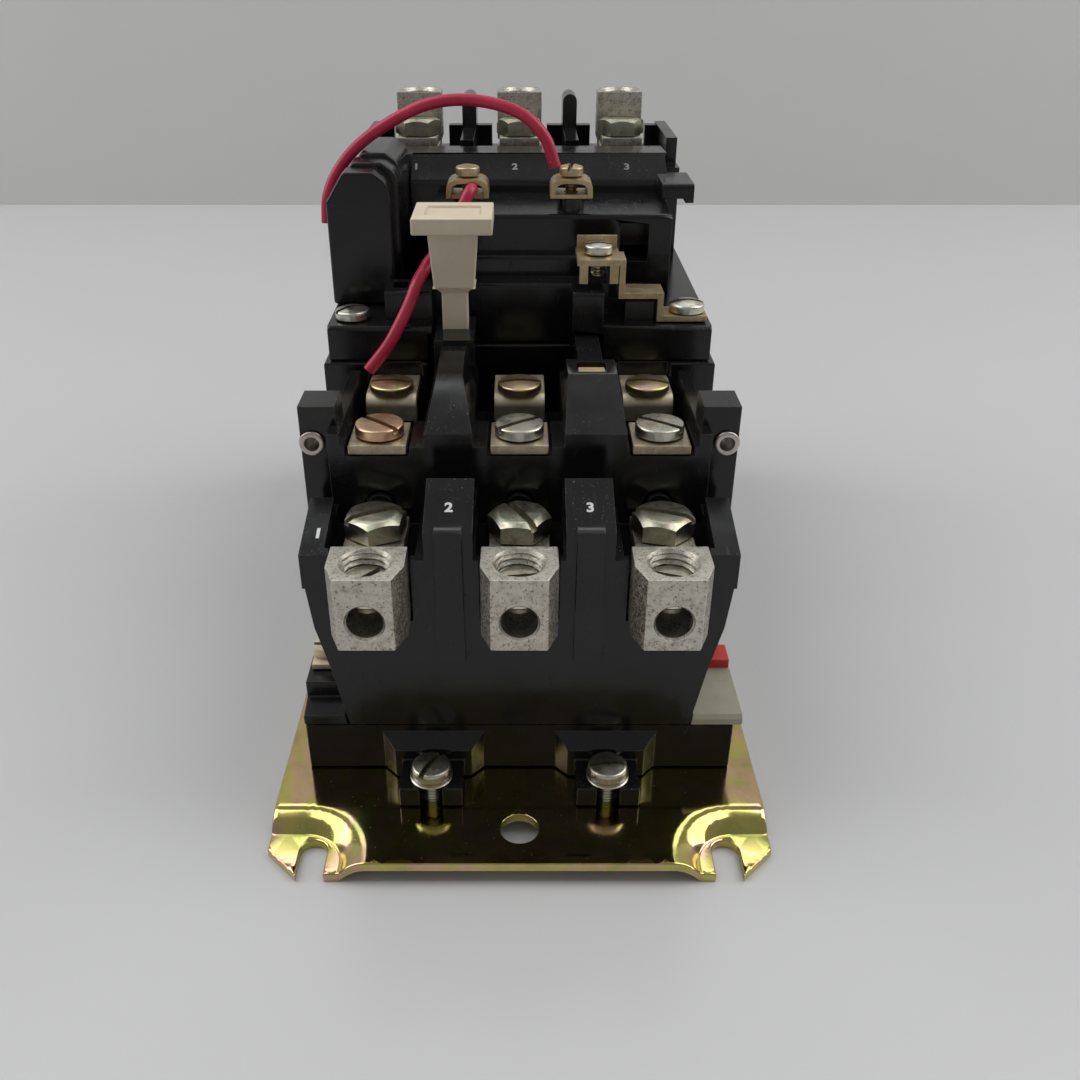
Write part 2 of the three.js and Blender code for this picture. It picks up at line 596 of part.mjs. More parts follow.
function coilScrew(side) {
  const { x, y, z } = COIL_TERMINAL;
  return cheeseScrew(side * x, y, z + 4.7, 5.6, 2.4, 2.8, 4.4, side > 0 ? 80 : 95);
}

function coverScrew(side) {
  const { x, y } = COVER_SCREW;
  return cheeseScrew(side * x, y, HOOD.deck + (side > 0 ? 1.9 : GAP), 8, 2.6, 3.4, 4, side > 0 ? 0 : 30);
}

function jumperStrap() {
  const { x, y, pad } = JUMPER;
  const z = HOOD.deck + GAP;
  const outline = [
    [42.8, z], [31.3, z], [31.3, 87.4], [22.4, 87.4], [22.4, pad], [x - 4.9, pad], [x - 4.9, pad + 1.4],
    [23.8, pad + 1.4], [23.8, 88.8], [32.7, 88.8], [32.7, z + 1.4], [42.8, z + 1.4],
  ];
  const strip = lengthwise(outline, COVER_SCREW.y - 3.6, COVER_SCREW.y + 3.6);
  const sheet = box(x - 4.9, x + 4.9, y - 5.4, y + 5.4, pad, pad + 1.4);
  const back = box(x - 4.6, x + 4.6, y + 4.4, y + 5.2, pad + 1, pad + 4.4);
  const hooks = SIDES.map((s) => box(x + s * 3.4 - 1, x + s * 3.4 + 1, y - 5.4, y - 4, pad - 4, pad + 0.2));
  const holes = [post(COVER_SCREW.x, COVER_SCREW.y, 4, 74, 95, 16), post(x, y, 4, pad - 1, pad + 2, 16)];
  return cut(union([strip, sheet, back, ...hooks]), holes);
}

// ---- Magnet, coil and contact carrier ----
function magnetCore() {
  const block = box(-26, 26, 31, 57, 9 + GAP, 36);
  return cut(block, SIDES.map((s) => box(s * 12.2 - 5.6, s * 12.2 + 5.6, 30, 58, 17, 37)));
}

function coil() {
  const block = box(-17.2, 17.2, 26.5, 61.5, 17.5, 33.5);
  return cut(block, [box(-6.9, 6.9, 30.6, 57.4, 10, 40)]);
}

function armature() {
  return box(-26, 26, 31, 57, 36 + CARRIER_TRAVEL + GAP, 50);
}

function contactCarrier() {
  const stem = box(-12, 12, 37, 51, 50 + GAP, 62);
  const crossbar = box(-33.5, 33.5, 37, 51, 60, 72);
  const tab = box(-5, 5, 50, 73, 60, 63);
  const bridges = POLES.map((x) => box(x - 4.6, x + 4.6, 24, 59, 71.5, 74));
  return union([stem, crossbar, tab, ...bridges]);
}

function returnSpring() {
  const turns = 7;
  const z0 = 9.8;
  const z1 = 59.2;
  const points = [];
  for (let i = 0; i <= turns * 8; i += 1) {
    const angle = (2 * Math.PI * i) / 8;
    points.push([3.2 * Math.cos(angle), 68 + 3.2 * Math.sin(angle), z0 + ((z1 - z0) * i) / (turns * 8)]);
  }
  return wire(points, 0.45, turns * 12, 6);
}

// ---- Assembly ----
addPart('mounting_plate', mountingPlate(), CHROMATE);
addPart('overload_base', overloadBase(), PHENOLIC);
addPart('overload_housing', overloadHousing(), PHENOLIC);
addPart('contactor_base', contactorBase(), PHENOLIC);
addPart('line_housing', lineHousing(), PHENOLIC);
addPart('aux_contact_block', auxBlock(), PHENOLIC);

const T_SLOTS = [26, -62, -20];
const T_TURNS = [23, -5, 45];
const T_FRONT_FINISH = [COPPER, ZINC, ZINC];
const T_FRONT_SLOTS = [-42, 35, -35];
POLES.forEach((x, i) => {
  const n = i + 1;
  addPart(`box_lug_t${n}`, boxLug(x, T_LUG.front, T_LUG.bottom, 1), TINNED);
  addPart(`clamp_screw_t${n}`, clampScrew(x, T_LUG.front + 6.4, T_LUG.bottom + 7.6), ZINC);
  addPart(`lug_bolt_t${n}`,
    hexBolt(x, T_LUG.front + TONGUE.boltY, 55.8, T_SLOTS[i], 2.6, T_TURNS[i]), ZINC);
  addPart(`heater_plate_t${n}`, heaterPlate(x), NICKEL);
  addPart(`heater_screw_front_t${n}`,
    cheeseScrew(x, HEATER_Y, PLATE_SEAT + 2.6, 10, 2.3, 4.4, 2, T_FRONT_SLOTS[i]), T_FRONT_FINISH[i]);
  addPart(`load_strap_t${n}`, loadStrap(x), NICKEL);
  addPart(`heater_screw_rear_t${n}`,
    cheeseScrew(x, REAR_HEATER_Y, STRAP_TOP + GAP, 9.8, 2.2, 4.4, 3, -20), GOLD);
  addPart(`line_strap_l${n}`, lineStrap(x), NICKEL);
  addPart(`box_lug_l${n}`, lineLug(x), TINNED);
  addPart(`line_bolt_l${n}`, hexBolt(x, LINE_BOLT_Y, LINE_LUG.bottom + 2.6, 12 - 10 * i, 5), ZINC);
});

addPart('reset_plunger', resetPlunger(), IVORY);
addPart('trip_flag', tripFlag(), BRASS);
addPart('test_button', testButton(), IVORY);
addPart('nc_contact_block', ncBlock(), PHENOLIC);
addPart('nc_terminal', ncTerminal(), NICKEL);
addPart('jumper_strap', jumperStrap(), BRASS);
addPart('jumper_screw', cheeseScrew(JUMPER.x, JUMPER.y, JUMPER.pad + 1.7, 6.4, 2.3, 3.4, 5, 0), ZINC);
addPart('magnet_core', magnetCore(), IRON);
addPart('coil', coil(), WINDING);
addPart('armature', armature(), IRON);
addPart('contact_carrier', contactCarrier(), PHENOLIC);
addPart('return_spring', returnSpring(), IRON);

SIDES.forEach((side) => {
  const hand = side > 0 ? 'right' : 'left';
  addPart(`rivet_${hand}`, rivet(side), ZINC);
  addPart(`overload_screw_${hand}`,
    cheeseScrew(side * EAR_SCREW.x, EAR_SCREW.y, EAR_SCREW.z, 8.2, 3.4, 4, 6.4, side > 0 ? 0 : 62), ZINC);
  addPart(`cover_screw_${hand}`, coverScrew(side), ZINC);
  addPart(`coil_terminal_${hand}`, coilTerminal(side), BRASS);
  addPart(`coil_screw_${hand}`, coilScrew(side), BRASS);
});

addPart('coil_lead_loop', wire([
  [8.5, 22, 111.1], [7.6, 22, 113.6], [5.9, 22.5, 117.9], [0.1, 25.5, 122.8], [-10.5, 29, 125],
  [-21.3, 30, 124.2], [-30.9, 29, 120.1], [-38.6, 27, 115.2], [-43.6, 25, 109.8], [-46.3, 23, 104.2],
  [-46.8, 22, 98],
], 1.4, 40), CRIMSON);
addPart('coil_lead_down', wire([
  [-11, 14.6, 107.6], [-11.8, 12.4, 107], [-14, 10.3, 102.6], [-17, 7.8, 97], [-20.6, 3.5, 94],
  [-21.9, 1, 92.2], [-23.2, -3.4, 90.7], [-24.6, -6.2, 87.2], [-28.1, -10.1, 80.9], [-30.4, -11.4, 77.6],
  [-34.2, -12.6, 73.2],
], 1.4, 40), CRIMSON);

export default group;
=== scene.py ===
import json
import math

import bmesh
import bpy
from mathutils import Matrix, Vector
from mathutils.geometry import delaunay_2d_cdt

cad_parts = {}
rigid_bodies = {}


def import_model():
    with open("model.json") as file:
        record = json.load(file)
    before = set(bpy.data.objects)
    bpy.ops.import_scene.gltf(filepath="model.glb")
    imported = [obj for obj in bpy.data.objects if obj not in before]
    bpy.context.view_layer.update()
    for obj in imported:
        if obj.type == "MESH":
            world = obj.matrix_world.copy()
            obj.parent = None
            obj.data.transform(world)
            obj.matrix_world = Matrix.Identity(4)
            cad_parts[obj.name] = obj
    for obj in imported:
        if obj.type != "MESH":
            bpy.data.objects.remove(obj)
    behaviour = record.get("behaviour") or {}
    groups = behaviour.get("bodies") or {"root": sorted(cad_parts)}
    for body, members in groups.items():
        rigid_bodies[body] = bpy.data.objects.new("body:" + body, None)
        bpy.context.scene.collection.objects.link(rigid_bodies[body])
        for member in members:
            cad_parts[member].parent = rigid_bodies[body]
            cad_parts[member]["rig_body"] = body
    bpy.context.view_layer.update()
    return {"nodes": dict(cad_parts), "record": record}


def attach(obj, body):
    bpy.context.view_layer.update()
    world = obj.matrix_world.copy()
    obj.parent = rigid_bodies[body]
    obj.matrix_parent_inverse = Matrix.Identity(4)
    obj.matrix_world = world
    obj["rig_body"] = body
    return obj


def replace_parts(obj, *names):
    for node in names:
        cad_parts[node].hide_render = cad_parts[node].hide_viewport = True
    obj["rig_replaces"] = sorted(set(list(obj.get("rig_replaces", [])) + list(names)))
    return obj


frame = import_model()
MM = 0.001
SIDES = (("left", -1), ("right", 1))

# Places shared with the CAD, in millimetres
POLES = (-28.6, 0.0, 28.6)
LUG_BOLT = (-55.7, 55.8)
LINE_BOLT = (77.7, 109.9)
FRONT_SCREW = (-41.2, 70.8)
REAR_SCREW = (-17.1, 70.6)
CLAMP_SCREW = (-72.3, 50.5)
LOAD_LUG = (-78.7, 42.9)
LINE_LUG = (94.8, 107.3)
BASE_SCREW = (18, -76, 9.9)
HOOD_SCREW = (38.6, -1.4)
HOOD_SCREW_SEATS = {"left": 82.1, "right": 83.7}
COIL_TERMINAL = (12.2, 19)
COIL_SADDLE_SEAT, COIL_SCREW_SEAT = 105.2, 109.9
JUMPER_SCREW = (17.8, 0.2, 96.6)
EYELET_PLACE = (42.2, -34.8, 69.4)


# ---- Node materials ----
def add(tree, kind, inputs=None, **settings):
    """One shader node; each input is given a value or linked to another node's output."""
    made = tree.nodes.new(kind)
    for key, value in settings.items():
        setattr(made, key, value)
    for key, value in (inputs or {}).items():
        socket = made.inputs[key]
        if isinstance(value, bpy.types.NodeSocket):
            tree.links.new(value, socket)
        else:
            socket.default_value = value
    return made


def rgb(r, g, b):
    return (r, g, b, 1.0)


def place(tree, stretch=(1, 1, 1)):
    """Object coordinates in metres, stretched along each axis."""
    where = add(tree, "ShaderNodeTexCoord").outputs["Object"]
    return add(tree, "ShaderNodeMapping", {"Vector": where, "Scale": stretch}).outputs[0]


def noise(tree, scale, detail=3.0, rough=0.6, stretch=(1, 1, 1), warp=0.0):
    """Noise whose cells are about 1/scale metres."""
    inputs = {
        "Vector": place(tree, stretch), "Scale": scale, "Detail": detail,
        "Roughness": rough, "Distortion": warp,
    }
    return add(tree, "ShaderNodeTexNoise", inputs).outputs["Fac"]


def ramp(tree, factor, *stops):
    """A colour ramp; each stop is a position and a colour or a grey value."""
    made = add(tree, "ShaderNodeValToRGB", {"Fac": factor})
    elements = made.color_ramp.elements
    while len(elements) < len(stops):
        elements.new(0.5)
    for element, (position, colour) in zip(elements, stops):
        element.position = position
        element.color = colour if isinstance(colour, tuple) else (colour,) * 3 + (1.0,)
    return made.outputs["Color"]


def mixed(tree, factor, a, b):
    made = add(tree, "ShaderNodeMix", data_type="RGBA")
    for index, value in ((0, factor), (6, a), (7, b)):
        if isinstance(value, bpy.types.NodeSocket):
            tree.links.new(value, made.inputs[index])
        else:
            made.inputs[index].default_value = value
    return made.outputs[2]


def calc(tree, operation, a, b=0.0, clamp=False):
    made = add(tree, "ShaderNodeMath", {0: a, 1: b}, operation=operation)
    made.use_clamp = clamp
    return made.outputs[0]


def relief(tree, height, distance, normal=None):
    """A bump of the given depth in metres, on top of another one if a normal is given."""
    inputs = {"Height": height, "Strength": 1.0, "Distance": distance}
    if normal is not None:
        inputs["Normal"] = normal
    return add(tree, "ShaderNodeBump", inputs).outputs["Normal"]


def edges(tree, radius):
    """A mask that is 1 on corners and edges, where handling wears a surface."""
    rounded = add(tree, "ShaderNodeBevel", {"Radius": radius}, samples=4).outputs[0]
    flat = add(tree, "ShaderNodeNewGeometry").outputs["Normal"]
    dot = add(tree, "ShaderNodeVectorMath", {0: rounded, 1: flat}, operation="DOT_PRODUCT")
    mask = ramp(tree, calc(tree, "SUBTRACT", 1.0, dot.outputs["Value"]), (0.02, 0.0), (0.2, 1.0))
    return calc(tree, "MULTIPLY", mask, calc(tree, "SUBTRACT", 1.0, crevices(tree, 1.2 * MM)))


def crevices(tree, reach):
    """A mask from ambient occlusion that is 1 in slots, threads and inner corners; the metals darken there
    with it as painted shade and dirt.
    """
    node = add(tree, "ShaderNodeAmbientOcclusion", {"Distance": reach}, samples=4, only_local=True)
    return ramp(tree, node.outputs["AO"], (0.40, 1.0), (0.78, 0.0))


def axis_value(tree, axis, source="Object"):
    if source == "Object":
        vector = add(tree, "ShaderNodeTexCoord").outputs["Object"]
    else:
        vector = add(tree, "ShaderNodeNewGeometry").outputs["Normal"]
    return add(tree, "ShaderNodeSeparateXYZ", {0: vector}).outputs[axis]


def surface(name, colour_of):
    """A material whose principled inputs come from colour_of(tree)."""
    material = bpy.data.materials.new(name)
    material.use_nodes = True
    tree = material.node_tree
    tree.nodes.clear()
    shader = add(tree, "ShaderNodeBsdfPrincipled", colour_of(tree))
    add(tree, "ShaderNodeOutputMaterial", {"Surface": shader.outputs[0]})
    return material


def phenolic(tree):
    base = ramp(
        tree, noise(tree, 45, 4), (0.35, rgb(0.0066, 0.0068, 0.0078)), (0.7, rgb(0.0112, 0.0108, 0.0100)),
    )
    up = ramp(tree, axis_value(tree, "Z", "Normal"), (0.2, 0.12), (0.8, 1.0))
    specks = ramp(tree, noise(tree, 2400, 1), (0.69, 0.0), (0.75, 1.0))
    patches = ramp(tree, noise(tree, 70, 3), (0.42, 0.0), (0.66, 0.75))
    dusty = calc(tree, "MULTIPLY", calc(tree, "MULTIPLY", specks, patches), up)
    scuffs = ramp(tree, noise(tree, 800, 2, stretch=(1, 0.06, 0.3), warp=0.4), (0.66, 0.0), (0.72, 0.4))
    handled = ramp(tree, noise(tree, 420, 4), (0.42, 0.1), (0.62, 1.0))
    worn = calc(tree, "MULTIPLY", edges(tree, 0.35 * MM), handled)
    colour = mixed(tree, dusty, base, rgb(0.17, 0.17, 0.16))
    colour = mixed(tree, calc(tree, "MULTIPLY", worn, 0.45), colour, rgb(0.075, 0.073, 0.07))
    rough = ramp(tree, noise(tree, 120, 5), (0.3, 0.12), (0.75, 0.25))
    for mark, amount in ((scuffs, 0.3), (dusty, 0.4), (worn, 0.12)):
        rough = calc(tree, "ADD", rough, calc(tree, "MULTIPLY", mark, amount), clamp=True)
    fine = relief(tree, noise(tree, 2200, 3), 0.006 * MM)
    wavy = relief(tree, noise(tree, 65, 2), 0.10 * MM, fine)
    return {"Base Color": colour, "Roughness": rough, "Normal": wavy, "IOR": 1.44}


def chromate(tree):
    swirl = noise(tree, 30, 5, 0.62, warp=1.4)
    colour = ramp(
        tree, swirl, (0.28, rgb(0.34, 0.44, 0.14)), (0.40, rgb(0.54, 0.50, 0.14)),
        (0.49, rgb(0.60, 0.50, 0.17)), (0.56, rgb(0.66, 0.43, 0.29)),
        (0.62, rgb(0.54, 0.47, 0.15)), (0.72, rgb(0.30, 0.41, 0.17)),
    )
    tarnish = ramp(tree, noise(tree, 170, 4), (0.45, 0.0), (0.8, 0.45))
    colour = mixed(tree, tarnish, colour, rgb(0.22, 0.20, 0.09))
    scratches = ramp(tree, noise(tree, 420, 2, stretch=(0.12, 1, 1), warp=1.6), (0.69, 0.0), (0.74, 0.5))
    specks = ramp(tree, noise(tree, 1500, 1), (0.71, 0.0), (0.76, 1.0))
    scratches = calc(tree, "MULTIPLY", scratches, 0.3)
    marks = calc(tree, "MAXIMUM", scratches, calc(tree, "MULTIPLY", specks, 0.45))
    colour = mixed(tree, marks, colour, rgb(0.66, 0.62, 0.46))
    colour = mixed(tree, calc(tree, "MULTIPLY", edges(tree, 0.4 * MM), 0.5), colour, rgb(0.76, 0.72, 0.55))
    rough = ramp(tree, noise(tree, 90, 4), (0.3, 0.07), (0.8, 0.17))
    rough = calc(tree, "ADD", rough, calc(tree, "MULTIPLY", marks, 0.4))
    normal = relief(tree, noise(tree, 40, 2), 0.07 * MM)
    return {"Base Color": colour, "Metallic": 1.0, "Roughness": rough, "Normal": normal}


def tinned(tree):
    mottle = noise(tree, 420, 5, 0.7)
    colour = ramp(
        tree, mottle, (0.32, rgb(0.40, 0.37, 0.31)), (0.5, rgb(0.60, 0.57, 0.50)),
        (0.75, rgb(0.70, 0.67, 0.60)),
    )
    stain = ramp(tree, noise(tree, 110, 5, 0.7), (0.54, 0.0), (0.72, 0.55))
    colour = mixed(tree, stain, colour, rgb(0.42, 0.33, 0.23))
    side = calc(tree, "ABSOLUTE", axis_value(tree, "X", "Normal"))
    sawn = ramp(tree, side, (0.8, 0.0), (0.95, 1.0))
    rougher = calc(tree, "MULTIPLY", sawn, 0.09)
    pits = ramp(tree, calc(tree, "ADD", noise(tree, 1900, 3, 0.7), rougher), (0.565, 0.0), (0.63, 0.85))
    colour = mixed(tree, pits, colour, rgb(0.17, 0.14, 0.11))
    worn = calc(tree, "MULTIPLY", edges(tree, 0.4 * MM), 0.7)
    colour = mixed(tree, worn, colour, rgb(0.86, 0.84, 0.80))
    # Painted shade and dirt: the colour darkens in slots, threads and inner corners found by ambient
    # occlusion
    dirt_and_shade = calc(tree, "MULTIPLY", crevices(tree, 2 * MM), 0.55)
    colour = mixed(tree, dirt_and_shade, colour, rgb(0.10, 0.08, 0.06))
    grain = calc(tree, "MULTIPLY", noise(tree, 1500, 3, 0.7), calc(tree, "ADD", 0.5, sawn))
    normal = relief(tree, grain, 0.22 * MM)
    rough = ramp(tree, noise(tree, 700, 4), (0.3, 0.36), (0.75, 0.54))
    rough = calc(tree, "ADD", rough, calc(tree, "MULTIPLY", sawn, 0.05))
    return {"Base Color": colour, "Metallic": 1.0, "Roughness": rough, "Normal": normal}


def plated(colours, rough=(0.2, 0.36), stain=0.3, grain=0.00003, patch=160):
    """A plated steel finish: patches of the given colours, light stains, fine marks, bright edges, and
    painted shade with dirt in the hollows.
    """
    def build(tree):
        steps = [0.34 + 0.34 * i / max(1, len(colours) - 1) for i in range(len(colours))]
        colour = ramp(tree, noise(tree, patch, 4, 0.6, warp=0.8), *zip(steps, (rgb(*c) for c in colours)))
        dark = ramp(tree, noise(tree, 600, 4, 0.7), (0.55, 0.0), (0.75, stain))
        colour = mixed(tree, dark, colour, rgb(*(0.35 * v for v in colours[0])))
        worn = calc(tree, "MULTIPLY", edges(tree, 0.3 * MM), 0.5)
        colour = mixed(tree, worn, colour, rgb(*(min(0.95, 1.25 * v) for v in colours[-1])))
        # Painted shade and dirt: the colour darkens in slots, threads and inner corners found by ambient
        # occlusion
        dirt_and_shade = calc(tree, "MULTIPLY", crevices(tree, 1.4 * MM), 0.85)
        colour = mixed(tree, dirt_and_shade, colour, rgb(0.07, 0.055, 0.04))
        marks = noise(tree, 1400, 3, 0.7, stretch=(0.3, 1, 1))
        roughness = ramp(tree, noise(tree, 500, 4), (0.3, rough[0]), (0.75, rough[1]))
        normal = relief(tree, marks, grain)
        return {"Base Color": colour, "Metallic": 1.0, "Roughness": roughness, "Normal": normal}
    return build


def moulded(colours, rough, grain=0.00001, speck=rgb(0.30, 0.27, 0.2)):
    """A light plastic: a faint cloud of colour, a few specks of dirt and a fine texture."""
    def build(tree):
        colour = ramp(tree, noise(tree, 90, 4), (0.35, rgb(*colours[0])), (0.7, rgb(*colours[1])))
        dirt_and_shade = ramp(tree, noise(tree, 1700, 2), (0.70, 0.0), (0.76, 0.7))
        colour = mixed(tree, dirt_and_shade, colour, speck)
        worn = calc(tree, "MULTIPLY", edges(tree, 0.0003), 0.25)
        colour = mixed(tree, worn, colour, rgb(*(min(1.0, 1.2 * v) for v in colours[1])))
        roughness = ramp(tree, noise(tree, 300, 3), (0.3, rough[0]), (0.75, rough[1]))
        normal = relief(tree, noise(tree, 2500, 3), grain)
        return {"Base Color": colour, "Roughness": roughness, "Normal": normal}
    return build


def test_plastic(tree):
    """Greyed ivory with the raised rear end in red."""
    inputs = moulded(((0.36, 0.34, 0.26), (0.44, 0.42, 0.33)), (0.38, 0.5))(tree)
    behind = calc(tree, "GREATER_THAN", axis_value(tree, "Z"), 19.05 * MM)
    inputs["Base Color"] = mixed(tree, behind, inputs["Base Color"], rgb(0.62, 0.035, 0.02))
    return inputs


def laminated(tree):
    steps = calc(tree, "SINE", calc(tree, "MULTIPLY", axis_value(tree, "Y"), 9000.0))
    colour = ramp(tree, noise(tree, 300, 4), (0.3, rgb(0.20, 0.20, 0.21)), (0.7, rgb(0.34, 0.33, 0.32)))
    return {
        "Base Color": colour, "Metallic": 0.9, "Roughness": 0.45,
        "Normal": relief(tree, steps, 0.00006),
    }


def winding(tree):
    turns = calc(tree, "SINE", calc(tree, "MULTIPLY", axis_value(tree, "Z"), 14000.0))
    colour = ramp(tree, noise(tree, 200, 4), (0.3, rgb(0.22, 0.09, 0.03)), (0.7, rgb(0.36, 0.17, 0.07)))
    return {"Base Color": colour, "Roughness": 0.35, "Normal": relief(tree, turns, 0.00008)}


FINISH = {
    "phenolic": surface("phenolic", phenolic),
    "chromate_steel": surface("chromate_steel", chromate),
    "tinned_aluminium": surface("tinned_aluminium", tinned),
    "zinc_steel": surface("zinc_steel", plated(
        ((0.52, 0.52, 0.40), (0.66, 0.65, 0.57), (0.60, 0.53, 0.38)), (0.24, 0.42), 0.5)),
    "copper_tone": surface("copper_tone", plated(
        ((0.72, 0.42, 0.24), (0.82, 0.54, 0.36), (0.78, 0.62, 0.36)), (0.28, 0.42), 0.15)),
    "gold_chromate": surface("gold_chromate", plated(
        ((0.60, 0.56, 0.22), (0.76, 0.64, 0.30), (0.78, 0.52, 0.44), (0.48, 0.56, 0.26)),
        (0.3, 0.42), 0.1, 0.00002, 240)),
    "nickel_silver": surface("nickel_silver", plated(
        ((0.70, 0.60, 0.42), (0.82, 0.73, 0.55), (0.86, 0.80, 0.66)), (0.5, 0.66), 0.25)),
    "brass": surface("brass", plated(
        ((0.42, 0.31, 0.17), (0.56, 0.44, 0.26), (0.50, 0.42, 0.30)), (0.34, 0.5), 0.5)),
    "ivory_plastic": surface("ivory_plastic", moulded(
        ((0.66, 0.57, 0.42), (0.74, 0.65, 0.49)), (0.36, 0.5))),
    "crimson_pvc": surface("crimson_pvc", moulded(
        ((0.42, 0.012, 0.05), (0.54, 0.022, 0.075)), (0.3, 0.44), 0.00002, rgb(0.55, 0.25, 0.27))),
    "laminated_iron": surface("laminated_iron", laminated),
    "coil_winding": surface("coil_winding", winding),
}
TEST_PLASTIC = surface("test_plastic", test_plastic)
LABEL = surface("label_paint", moulded(((0.62, 0.62, 0.60), (0.74, 0.74, 0.72)), (0.5, 0.6)))
FADED = surface("faded_paint", moulded(((0.16, 0.16, 0.16), (0.30, 0.30, 0.30)), (0.5, 0.6)))
EYELET = surface("eyelet_metal", plated(
    ((0.50, 0.42, 0.38), (0.60, 0.54, 0.50), (0.52, 0.48, 0.42)), (0.3, 0.45), 0.4))
BOLT_STEEL = surface("bolt_steel", plated(
    ((0.40, 0.42, 0.27), (0.54, 0.54, 0.44), (0.52, 0.43, 0.28)), (0.27, 0.44), 0.7, 0.04 * MM, 300))
TARNISHED = surface("tarnished_nickel", plated(
    ((0.40, 0.34, 0.24), (0.54, 0.47, 0.35), (0.62, 0.57, 0.46)), (0.36, 0.5), 0.6))
FLAG = surface("flag_metal", plated(((0.62, 0.50, 0.28), (0.72, 0.60, 0.36)), (0.45, 0.6), 0.2))
SLOT_OF = {row["node"]: row["material_slot"] for row in frame["record"]["subparts"]}


# ---- Mesh helpers: every mesh is built in millimetres and scaled when it is shown ----
def show(name, bm, node=None, finish=None, smooth=32):
    """Links a mesh as a piece; with a node it stands for that CAD node and takes its finish and body."""
    bmesh.ops.recalc_face_normals(bm, faces=bm.faces)
    for face in bm.faces:
        face.smooth = True
    for edge in bm.edges:
        edge.smooth = len(edge.link_faces) == 2 and edge.calc_face_angle(0) < math.radians(smooth)
    bm.transform(Matrix.Scale(MM, 4))
    mesh = bpy.data.meshes.new(name)
    bm.to_mesh(mesh)
    bm.free()
    piece = bpy.data.objects.new(name, mesh)
    bpy.context.scene.collection.objects.link(piece)
    if node:
        finish = finish or FINISH[SLOT_OF[node]]
        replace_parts(piece, node)
    mesh.materials.append(finish)
    normals = piece.modifiers.new("normals", "WEIGHTED_NORMAL")
    normals.keep_sharp = True
    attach(piece, frame["nodes"][node]["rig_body"] if node else "frame")
    return piece


def carve(bm, tool, operation="DIFFERENCE"):
    """The first mesh cut by the second, or joined or intersected with it; both are used up."""
    made = []
    for part in (bm, tool):
        bmesh.ops.recalc_face_normals(part, faces=part.faces)
        mesh = bpy.data.meshes.new("work")
        part.to_mesh(mesh)
        part.free()
        work = bpy.data.objects.new("work", mesh)
        bpy.context.scene.collection.objects.link(work)
        made.append(work)
    cut = made[0].modifiers.new("cut", "BOOLEAN")
    cut.object, cut.operation, cut.solver = made[1], operation, "EXACT"
    result = bmesh.new()
    result.from_object(made[0], bpy.context.evaluated_depsgraph_get())
    for work in made:
        mesh = work.data
        bpy.data.objects.remove(work)
        bpy.data.meshes.remove(mesh)
    return result


def block(x0, x1, y0, y1, z0, z1):
    bm = bmesh.new()
    bmesh.ops.create_cube(bm, size=1)
    bmesh.ops.scale(bm, vec=(x1 - x0, y1 - y0, z1 - z0), verts=bm.verts)
    bmesh.ops.translate(bm, vec=((x0 + x1) / 2, (y0 + y1) / 2, (z0 + z1) / 2), verts=bm.verts)
    return bm


def prism(outline, low, high, plane="XY"):
    """An outline of two coordinates swept along the third axis."""
    def point(a, b, c):
        return {"XY": (a, b, c), "YZ": (c, a, b), "XZ": (a, c, b)}[plane]
    bm = bmesh.new()
    ends = [[bm.verts.new(point(a, b, c)) for a, b in outline] for c in (low, high)]
    bm.faces.new(ends[0])
    bm.faces.new(ends[1])
    for i in range(len(outline)):
        j = (i + 1) % len(outline)
        bm.faces.new((ends[0][i], ends[0][j], ends[1][j], ends[1][i]))
    bmesh.ops.recalc_face_normals(bm, faces=bm.faces)
    return bm


def lathe(profile, at=(0, 0, 0), towards="Z", segments=64):
    """A turned solid; the profile is (radius, height) from the bottom of its axis to the top."""
    bm = bmesh.new()
    rings = []
    for radius, height in profile:
        count = segments if radius > 1e-6 else 1
        turns = (2 * math.pi * i / segments for i in range(count))
        rings.append([bm.verts.new((radius * math.cos(t), radius * math.sin(t), height)) for t in turns])
    for a, b in zip(rings, rings[1:]):
        for i in range(segments):
            corners = [a[i % len(a)], a[(i + 1) % len(a)], b[(i + 1) % len(b)], b[i % len(b)]]
            unique = list(dict.fromkeys(corners))
            if len(unique) > 2:
                bm.faces.new(unique)
    if towards == "Y":
        bm.transform(Matrix.Rotation(-math.pi / 2, 4, "X"))
    bm.transform(Matrix.Translation(at))
    bmesh.ops.recalc_face_normals(bm, faces=bm.faces)
    return bm


def soften(bm, width, segments=2, angle=28, chosen=None):
    """Rounds the sharp edges, or only those of them for which chosen(edge) is true."""
    sharp = [e for e in bm.edges if len(e.link_faces) == 2 and e.calc_face_angle(0) > math.radians(angle)]
    bmesh.ops.bevel(
        bm, geom=[e for e in sharp if chosen is None or chosen(e)], offset=width, offset_type="OFFSET",
        segments=segments, profile=0.5, affect="EDGES", clamp_overlap=False, loop_slide=True,
    )
    return bm


def from_cad(node):
    """The CAD node's solid in millimetres, with its flat faces whole again."""
    bm = bmesh.new()
    bm.from_mesh(frame["nodes"][node].data)
    bm.transform(Matrix.Scale(1 / MM, 4))
    bmesh.ops.remove_doubles(bm, verts=bm.verts, dist=0.004)
    bmesh.ops.dissolve_limit(bm, angle_limit=math.radians(0.5), verts=bm.verts, edges=bm.edges)
    return bm


def extent(bm):
    axes = [[v.co[i] for v in bm.verts] for i in range(3)]
    return [min(a) for a in axes] + [max(a) for a in axes]


def folded(bm):
    """How many triangles of a mesh turn against the face they belong to."""
    count = 0
    for loops in bm.calc_loop_triangles():
        a, b, c = (loop.vert.co for loop in loops)
        normal = (b - a).cross(c - a)
        if normal.length > 0.0001 and normal.normalized().dot(loops[0].face.normal) < 0.5:
            count += 1
    return count


def on_seam(edge):
    """True along the joint between the relay's base and its housing, which fit flush."""
    return all(16.2 < v.co.z < 16.7 and v.co.y < -60 for v in edge.verts)


